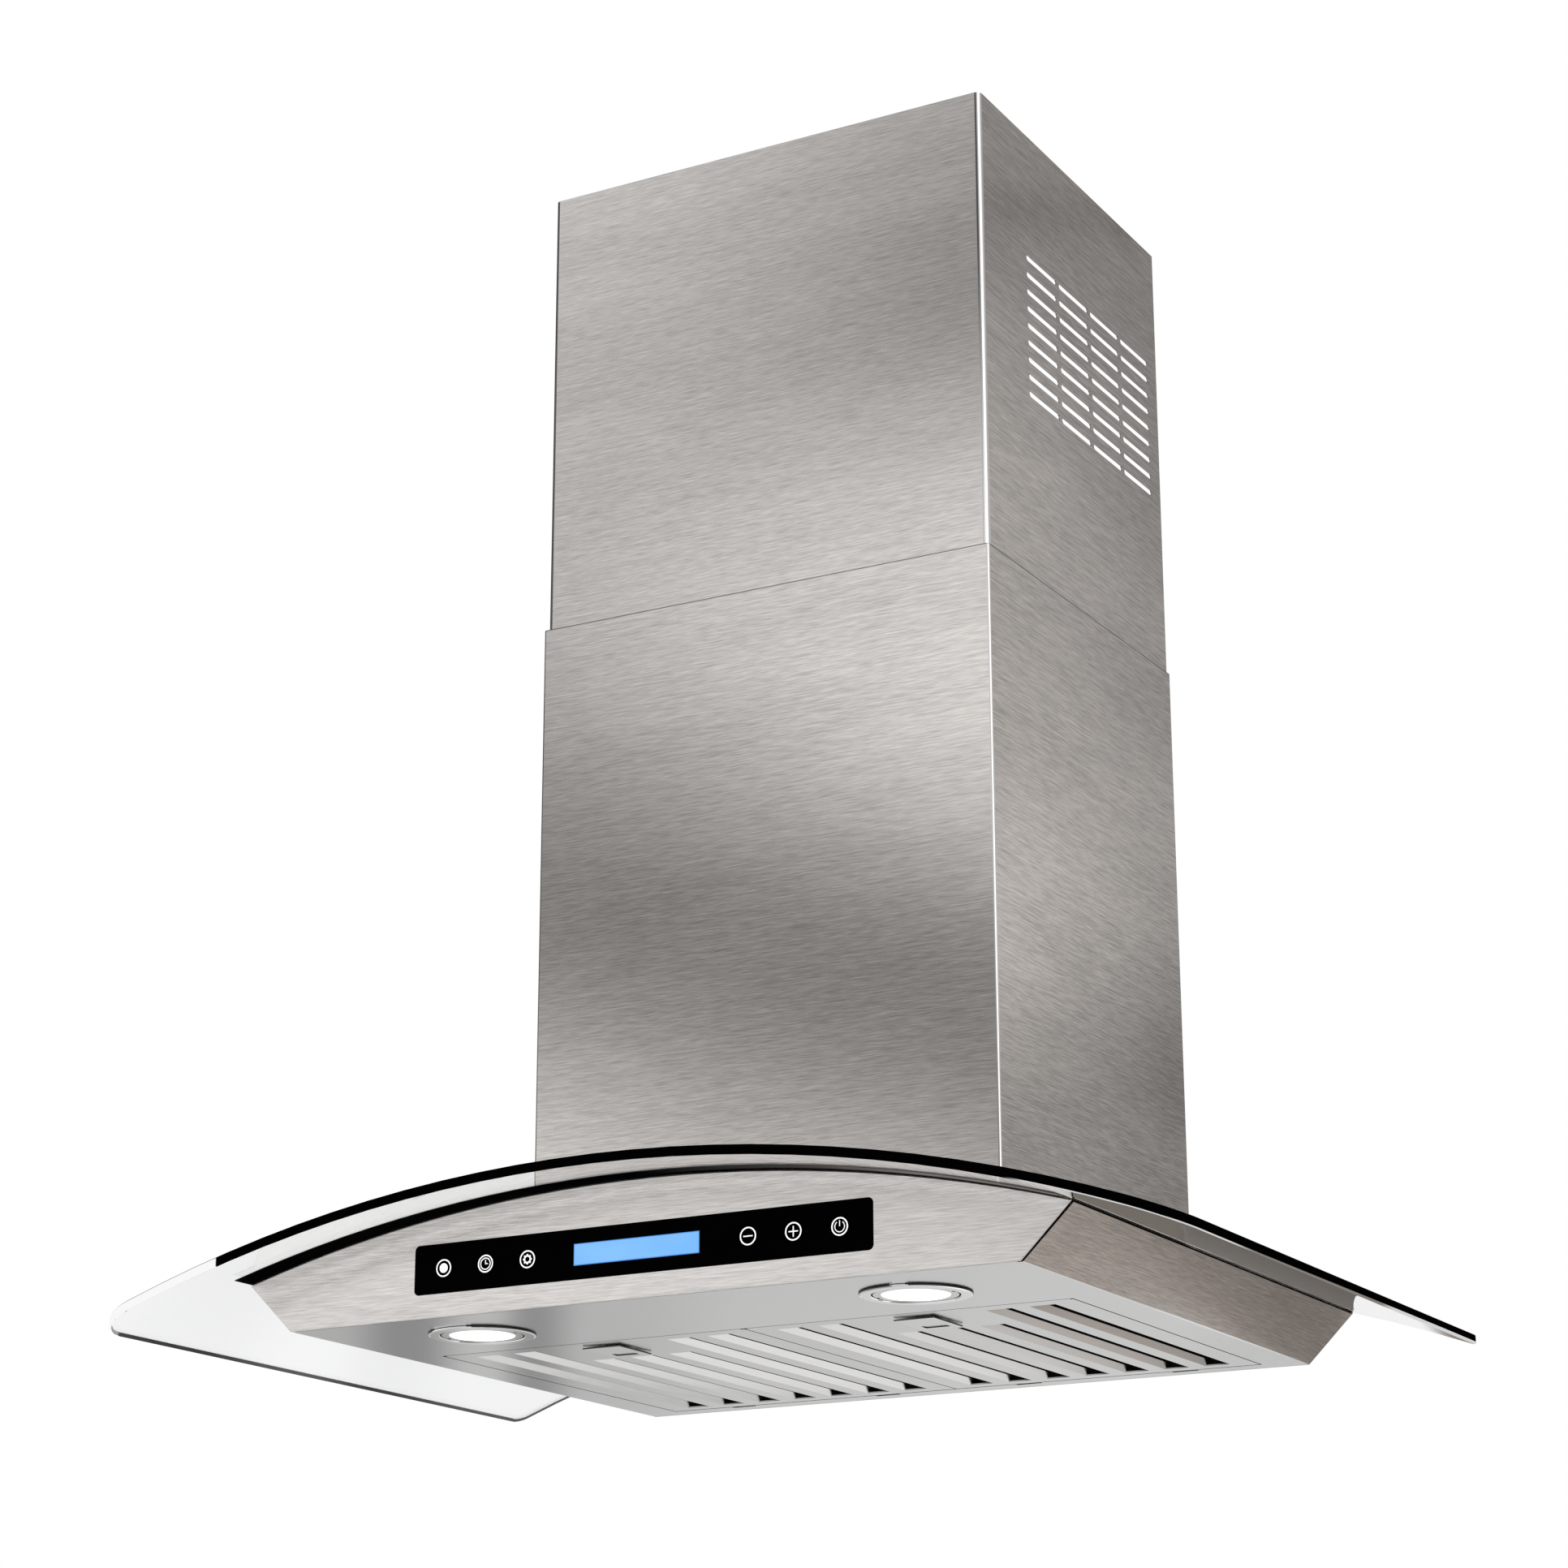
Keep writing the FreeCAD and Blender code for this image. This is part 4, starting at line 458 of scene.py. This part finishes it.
# The chimney sides carry a slightly stronger grain than the fronts. On the front bends, faces turned well to the right
# take a bright copy of the steel as a painted highlight, faces turned only a little to the right take a half-tone copy
# that darkens towards the top as painted shade, and the faces of the left bend take a dark copy as painted shade.
for name, beside in (("chimney_lower", "chimney_base_side"), ("chimney_upper", "chimney_side")):
    cover = nodes[name].data
    cover.materials.append(finish[beside])
    cover.materials.append(finish["bend"])
    cover.materials.append(finish["bend_shade"])
    cover.materials.append(finish["bend_soft"])
    for face in cover.polygons:
        if abs(face.normal.x) > 0.08 and face.normal.y < -0.08 and abs(face.center.x) > 0.16 and face.normal.x * face.center.x > 0.0:
            face.material_index = 2 if face.normal.x > 0.40 else 4 if face.normal.x > 0.0 else 3
        elif abs(face.normal.x) > 0.9:
            face.material_index = 1

# The side faces of the latch plates are painted dark as shade.
for name in ("filter_latch_left", "filter_latch_right"):
    plate = nodes[name].data
    plate.materials.append(finish["latch_edge"])
    for face in plate.polygons:
        if abs(face.normal.z) < 0.5 and face.center.z < -0.0005:
            face.material_index = 1

# The outer wall of each lamp trim is painted dark as shade, but for a length at the front and its twin at the back,
# which keep the bright trim finish as a painted highlight.
for name, highlight_low, highlight_high in (("lamp_trim_left", -0.45, 0.30), ("lamp_trim_right", 0.02, 0.28)):
    turned = nodes[name].data
    turned.materials.append(finish["trim_wall"])
    for face in turned.polygons:
        if abs(face.normal.z) < 0.7 and not highlight_low < face.normal.x < highlight_high:
            face.material_index = 1

# The baffles are painted dark below, as shade in the slots, and bare on top.
for name in ("filter_baffles_left", "filter_baffles_right"):
    channels = nodes[name].data
    channels.materials.append(finish["baffle"])
    for face in channels.polygons:
        if face.normal.z < 0.5:
            face.material_index = 1

# The inside of each filter tray is shaded.
for name in ("filter_pan_left", "filter_pan_right"):
    tray = nodes[name].data
    tray.materials.append(finish["baffle"])
    back_end = max(v.co.y for v in tray.vertices)
    for face in tray.polygons:
        if face.center.z > 0.001 and face.normal.y < -0.5 and face.center.y > back_end - 0.006:
            face.material_index = 1


# ---------------------------------------------------------------- latch springs
# Each coil is copied onto its filter's body in place of the spring part.
for side in ("left", "right"):
    rest = nodes["latch_spring_" + side]
    low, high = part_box("latch_spring_" + side)
    coil = bpy.data.objects.new("spring_coil_" + side, rest.data.copy())
    coil.data.materials.clear()
    coil.data.materials.append(finish["spring"])
    scene.collection.objects.link(coil)
    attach(coil, side + "_filter")
    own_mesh(coil)
    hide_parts("latch_spring_" + side)


# ---------------------------------------------------------------- control icons
PANEL_Y = -0.4495
ICON_Z = 0.03045


def outline_ring(outer, inner):
    """Faces between two closed outlines with the same number of points."""
    count = len(outer)
    return [(outer[i], outer[(i + 1) % count], inner[(i + 1) % count], inner[i]) for i in range(count)]


def circle_points(radius, count=72):
    return [(radius * math.cos(2 * math.pi * i / count), radius * math.sin(2 * math.pi * i / count)) for i in range(count)]


def arc_points(radius, start, end, count=48):
    return [(radius * math.cos(math.radians(start + (end - start) * i / count)), radius * math.sin(math.radians(start + (end - start) * i / count))) for i in range(count + 1)]


def ring_faces(r_out, r_in):
    return outline_ring(circle_points(r_out), circle_points(r_in))


def disc_faces(radius):
    return [tuple(circle_points(radius))]


def bar_faces(x0, z0, x1, z1):
    return [((x0, z0), (x1, z0), (x1, z1), (x0, z1))]


def arc_faces(r_out, r_in, start, end):
    o, i = arc_points(r_out, start, end), arc_points(r_in, start, end)
    return [(o[k], o[k + 1], i[k + 1], i[k]) for k in range(len(o) - 1)]


def gear_faces(r_tip, r_root, r_bore, teeth=8):
    count = teeth * 10
    outer, inner = [], []
    for i in range(count):
        a = 2 * math.pi * i / count + math.pi / 2
        step = (i + 2.5) % 10
        radius = r_tip if step < 5 else r_root
        outer.append((radius * math.cos(a), radius * math.sin(a)))
        inner.append((r_bore * math.cos(a), r_bore * math.sin(a)))
    return outline_ring(outer, inner)


def icon(name, x_mm, faces):
    """Flat symbol, 0.06 mm proud of the panel, from faces given in millimetres."""
    bm = bmesh.new()
    for f in faces:
        bm.faces.new([bm.verts.new((x_mm / 1000 + p[0] / 1000, PANEL_Y - 0.00006, ICON_Z + p[1] / 1000)) for p in f])
    bmesh.ops.remove_doubles(bm, verts=bm.verts[:], dist=1e-7)
    bmesh.ops.recalc_face_normals(bm, faces=bm.faces[:])
    for f in bm.faces:
        if f.normal.y > 0:
            f.normal_flip()
    grown = bmesh.ops.extrude_face_region(bm, geom=bm.faces[:], use_keep_orig=True)
    moved = [v for v in grown["geom"] if isinstance(v, bmesh.types.BMVert)]
    bmesh.ops.translate(bm, verts=moved, vec=(0.0, 0.00007, 0.0))
    bmesh.ops.recalc_face_normals(bm, faces=bm.faces[:])
    mesh = bpy.data.meshes.new(name)
    bm.to_mesh(mesh)
    bm.free()
    mesh.materials.append(finish["icon"])
    piece = bpy.data.objects.new(name, mesh)
    scene.collection.objects.link(piece)
    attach(piece, "hood")
    return piece


RIM = ring_faces(5.55, 4.68)
icon("icon_lamp", -139.4, RIM + disc_faces(3.0))
icon("icon_timer", -108.4, RIM + ring_faces(3.80, 3.15) + [((-0.30, 2.30), (-0.30, -0.35), (1.75, -0.35), (1.75, 0.25), (0.30, 0.25), (0.30, 2.30))])
icon("icon_gear", -77.7, RIM + gear_faces(3.20, 2.60, 1.60))
icon("icon_minus", 77.7, RIM + bar_faces(-3.2, -0.36, 3.2, 0.36))
icon("icon_plus", 108.4, RIM + [((-3.2, -0.36), (-0.36, -0.36), (-0.36, -3.2), (0.36, -3.2), (0.36, -0.36), (3.2, -0.36), (3.2, 0.36), (0.36, 0.36), (0.36, 3.2), (-0.36, 3.2), (-0.36, 0.36), (-3.2, 0.36))])
icon("icon_power", 139.4, RIM + arc_faces(3.5, 2.95, 125, 415) + bar_faces(-0.28, 0.2, 0.28, 3.7))


# ---------------------------------------------------------------- floor, light and backdrop
def sheet_object(name, corners, material, faces=None):
    mesh = bpy.data.meshes.new(name)
    mesh.from_pydata(corners, [], faces or [tuple(range(len(corners)))])
    mesh.materials.append(material)
    o = bpy.data.objects.new(name, mesh)
    scene.collection.objects.link(o)
    return o


fl = Finish("studio_floor")
n = fl.noise((0.8, 0.8, 0.8), 3.0, 0.5)
fl.set(Base_Color=fl.mix(n, (0.86, 0.86, 0.855, 1.0), (0.90, 0.90, 0.895, 1.0)), Roughness=0.8, Specular_IOR_Level=0.1)
floor = sheet_object("studio_floor", [(-40, -40, -3.0), (40, -40, -3.0), (40, 40, -3.0), (-40, 40, -3.0)], fl.m)
floor.visible_glossy = False
floor.visible_diffuse = False


def glow_card(name, corners, build, cover=None, faces=None):
    """A soft light panel that only mirrors in the steel."""
    m = bpy.data.materials.new(name)
    t = Tree(m)
    out = t.new("ShaderNodeOutputMaterial")
    e = t.new("ShaderNodeEmission")
    co = t.new("ShaderNodeTexCoord").outputs["Object"]
    t.put(e.inputs["Color"], build(t, co))
    if cover:
        both = t.new("ShaderNodeMixShader")
        t.put(both.inputs[0], cover(t, co))
        t.nt.links.new(t.new("ShaderNodeBsdfTransparent").outputs[0], both.inputs[1])
        t.nt.links.new(e.outputs[0], both.inputs[2])
        t.nt.links.new(both.outputs[0], out.inputs[0])
    else:
        t.nt.links.new(e.outputs[0], out.inputs[0])
    e.inputs["Strength"].default_value = 1.0
    m.cycles.emission_sampling = "NONE"
    o = sheet_object(name, corners, m, faces)
    o.visible_camera = False
    o.visible_diffuse = False
    o.visible_transmission = False
    o.visible_shadow = False
    o.visible_volume_scatter = False
    return o


def tint(t, level, colour):
    """Grey level times a light colour."""
    n = t.new("ShaderNodeVectorMath", operation="SCALE")
    t.put(n.inputs[0], colour)
    t.put(n.inputs["Scale"], level)
    return n.outputs[0]


def fade(t, fac, a, b):
    """Number between a and b."""
    n = t.new("ShaderNodeMix", data_type="FLOAT", clamp_factor=True)
    t.put(n.inputs[0], fac)
    t.put(n.inputs[2], a)
    t.put(n.inputs[3], b)
    return n.outputs[0]


def front_light(t, co):
    """Soft panels in front: a leaning dark gap below, a bright field, and a dimmer top that deepens to the right."""
    x, y, zz = t.split(co)
    lean = t.math("ADD", zz, t.math("MULTIPLY", t.math("ADD", x, 0.22), 0.30))
    across = t.span(x, -0.42, -0.04, smooth=False)
    late = t.math("POWER", across, 1.4)
    level = t.math("MULTIPLY", fade(t, t.span(zz, 0.05, 0.13), 1.0, t.span(x, -0.38, -0.24, 0.97, 0.85)), t.span(x, -0.12, 0.06, 1.0, 0.95))
    level = t.math("MULTIPLY", level, t.span(zz, -0.02, 0.05, 0.72, 1.0))
    level = fade(t, t.span(lean, 0.12, 0.36), level, 0.325)
    level = fade(t, t.span(lean, 0.375, fade(t, across, 0.69, 0.60)), level, fade(t, across, 0.73, 1.02))
    level = fade(t, t.span(zz, 0.68, fade(t, across, 0.91, 0.88)), level, fade(t, late, 0.72, 0.41))
    level = t.math("ADD", level, t.math("MULTIPLY", t.span(zz, 0.94, 1.12), fade(t, across, 0.14, 0.16)))
    warm = t.span(level, 0.30, 0.75)
    return tint(t, level, t.mix(warm, (1.0, 0.982, 0.968, 1.0), (1.0, 1.0, 1.0, 1.0)))


glow_card("front_light_panel", [(-1.3, -0.70, -0.5), (0.55, -0.70, -0.5), (0.55, -0.70, 1.6), (-1.3, -0.70, 1.6)], front_light)


def side_light(t, co):
    """Dim panel beside the chimney, near the wall: brighter away from the chimney and at mid height."""
    x, y, zz = t.split(co)
    out_from = t.span(x, 0.197, 0.322, smooth=False)
    climb = t.span(x, 0.197, 0.322, 0.0263, 0.155, smooth=False)
    high = t.math("DIVIDE", t.math("SUBTRACT", zz, t.math("MULTIPLY", climb, 0.37)), t.math("ADD", climb, 1.0))
    far = fade(t, t.span(high, 0.77, 0.56), 0.37, 0.61)
    far = fade(t, t.span(high, 0.40, 0.27), far, 0.76)
    far = fade(t, t.span(high, 0.26, 0.12), far, 0.45)
    near = fade(t, t.span(high, 0.76, 0.38), 0.335, 0.485)
    near = fade(t, t.span(high, 0.34, 0.20), near, 0.29)
    near = fade(t, t.span(high, 0.19, 0.14), near, 0.33)
    band = t.math("ABSOLUTE", t.math("SUBTRACT", high, t.span(x, 0.197, 0.322, 0.847, 0.757, smooth=False)))
    level = t.math("MULTIPLY", fade(t, out_from, near, far), t.span(band, 0.0, 0.03, 0.76, 0.94))
    middle = t.math("ABSOLUTE", t.math("SUBTRACT", high, 0.475))
    level = t.math("MULTIPLY", level, t.span(middle, 0.0, 0.06, 0.90, 1.0))
    return tint(t, level, (1.0, 0.972, 0.952))


glow_card("side_light_panel", [(0.05, 0.03, 0.07), (0.60, 0.03, 0.07), (0.60, 0.03, 1.35), (0.05, 0.03, 1.35)], side_light)


def low_light(t, co):
    """Panel low at the back, mirrored in the underside and the louvres: two dim bars at the left, brighter below."""
    x, y, zz = t.split(co)
    level = fade(t, t.span(x, -0.80, -0.735), 0.53, 0.31)
    level = fade(t, t.span(x, -0.710, -0.650), level, 0.64)
    level = fade(t, t.span(x, -0.635, -0.595), level, 0.32)
    level = fade(t, t.span(x, -0.585, -0.535), level, 0.58)
    level = fade(t, t.span(x, -0.50, -0.36), level, 0.67)
    level = fade(t, t.span(x, -0.34, -0.06), level, 0.72)
    level = fade(t, t.span(x, -0.02, 0.06), level, 0.62)
    slant = t.math("ADD", x, zz)
    louvre = t.span(slant, 0.01, 0.215, 1.11, 0.38, smooth=False)
    under = t.math("MULTIPLY", t.span(x, -0.020, 0.050), t.span(zz, -0.115, -0.150))
    level = fade(t, under, level, louvre)
    end = t.math("MULTIPLY", t.span(x, 0.12, 0.22), t.span(zz, -0.135, -0.110))
    level = fade(t, end, level, 0.27)
    warm = t.math("MAXIMUM", t.math("MULTIPLY", under, t.span(slant, 0.05, 0.20)), end)
    return tint(t, level, t.mix(warm, (1.0, 1.0, 1.0, 1.0), (1.0, 0.895, 0.815, 1.0)))


glow_card("low_light_panel", [(-1.2, 0.35, -1.3), (1.5, 0.35, -1.3), (1.5, 0.35, -0.04), (-1.2, 0.35, -0.04)], low_light)


def right_light(t, co):
    """Dim warm panel low at the right, near the wall."""
    x, y, zz = t.split(co)
    slant = t.math("ADD", x, t.math("MULTIPLY", zz, 1.08))
    level = t.math("ADD", t.span(slant, 0.12, 0.28, 0.40, 0.265, smooth=False), t.span(slant, 0.25, 0.19, 0.0, 0.07))
    return tint(t, level, (1.0, 0.890, 0.810))


def right_cover(t, co):
    """How much of the panel hides what is behind it."""
    x, y, zz = t.split(co)
    beside = t.span(t.math("ADD", x, t.math("MULTIPLY", zz, 0.389)), 0.243, 0.260)
    below = t.math("MULTIPLY", t.span(zz, -0.125, -0.135), t.span(x, 0.20, 0.22))
    return t.math("MULTIPLY", t.math("MAXIMUM", beside, below), t.span(zz, 0.018, 0.011))


glow_card("right_light_panel", [(-0.1, 0.02, -0.40), (0.80, 0.02, -0.40), (0.80, 0.02, 0.04), (-0.1, 0.02, 0.04)], right_light, right_cover)


def mirror_light(t, co):
    """Dim band along the upper right side of the body, mirrored in the glass above it."""
    x, y, zz = t.split(co)
    level = fade(t, t.span(y, -0.31, -0.27), 0.165, 0.128)
    return tint(t, level, (1.0, 0.885, 0.795))


def outer_side(t, co):
    """Only the outer side of the panel is there."""
    return t.math("SUBTRACT", 1.0, t.new("ShaderNodeNewGeometry").outputs["Backfacing"], clamp=True)


glow_card("mirror_light_panel", [(0.28855, -0.449, 0.0306), (0.27272, -0.449, 0.0154), (0.27272, -0.001, 0.0154), (0.28855, -0.001, 0.0306)], mirror_light, outer_side)


def strip_light(t, co):
    """Glow under the black strip: its lower side keeps the strip out of the fascia's mirror image, its upper side mirrors in the strip towards the right."""
    x, y, zz = t.split(co)
    lower = t.span(x, -0.26, -0.20, 0.74, 0.70)
    upper = t.math("MULTIPLY", t.math("ADD", t.span(x, 0.0, 0.11, 0.0, 0.10), t.span(x, 0.10, 0.21, 0.0, 0.27)), t.span(y, -0.4545, -0.4580))
    inner = t.new("ShaderNodeNewGeometry").outputs["Backfacing"]
    return tint(t, fade(t, inner, lower, upper), t.mix(inner, (1.0, 1.0, 1.0, 1.0), (1.0, 0.925, 0.860, 1.0)))


strip_mesh = nodes["front_strip"].data
corners, faces = [], []
for face in strip_mesh.polygons:
    if face.normal.z < -0.7:
        start = len(corners)
        corners += [tuple(strip_mesh.vertices[v].co - Vector((0.0, 0.0, 0.0003))) for v in face.vertices]
        faces.append(tuple(range(start, len(corners))))
glow_card("strip_light_panel", corners, strip_light, None, faces)

world = bpy.data.worlds.new("studio")
scene.world = world
w = Tree(world)
out = w.new("ShaderNodeOutputWorld")
way = w.new("ShaderNodeTexCoord").outputs["Generated"]
wx, wy, wz = w.split(way)
behind = w.span(wy, -0.15, 0.35)
right = w.span(wx, -0.32, 0.12)
shade = w.math("MULTIPLY", behind, right)
room = w.mix(shade, (0.90, 0.90, 0.90, 1.0), (0.46, 0.435, 0.415, 1.0))
low = w.math("MULTIPLY", shade, w.span(wz, 0.0, -0.4))
room = w.mix(low, room, (0.30, 0.272, 0.250, 1.0))
corner = w.math("MULTIPLY", w.math("MULTIPLY", w.span(wy, -0.30, 0.10), w.span(wx, -0.20, -0.45)), w.span(wz, 0.20, 0.30))
room = w.mix(corner, room, (0.03, 0.028, 0.026, 1.0))
room = w.mix(w.span(wz, 0.42, 0.60), room, (0.10, 0.095, 0.090, 1.0))
lobe = w.span(w.dot(way, Vector((0.833, -0.462, 0.303)).normalized()), math.cos(math.radians(25)), math.cos(math.radians(18)))
room = w.mix(lobe, room, (1.35, 1.35, 1.35, 1.0))
path = w.new("ShaderNodeLightPath")
seen = w.math("SUBTRACT", 1.0, path.outputs["Is Transmission Ray"], clamp=True)
plain = w.math("SUBTRACT", 1.0, w.math("MULTIPLY", path.outputs["Is Glossy Ray"], seen), clamp=True)
back = w.new("ShaderNodeBackground")
w.put(back.inputs["Color"], w.mix(plain, room, (1.0, 1.0, 1.0, 1.0)))
back.inputs["Strength"].default_value = 1.0
w.nt.links.new(back.outputs[0], out.inputs[0])
world.cycles.sampling_method = "NONE"
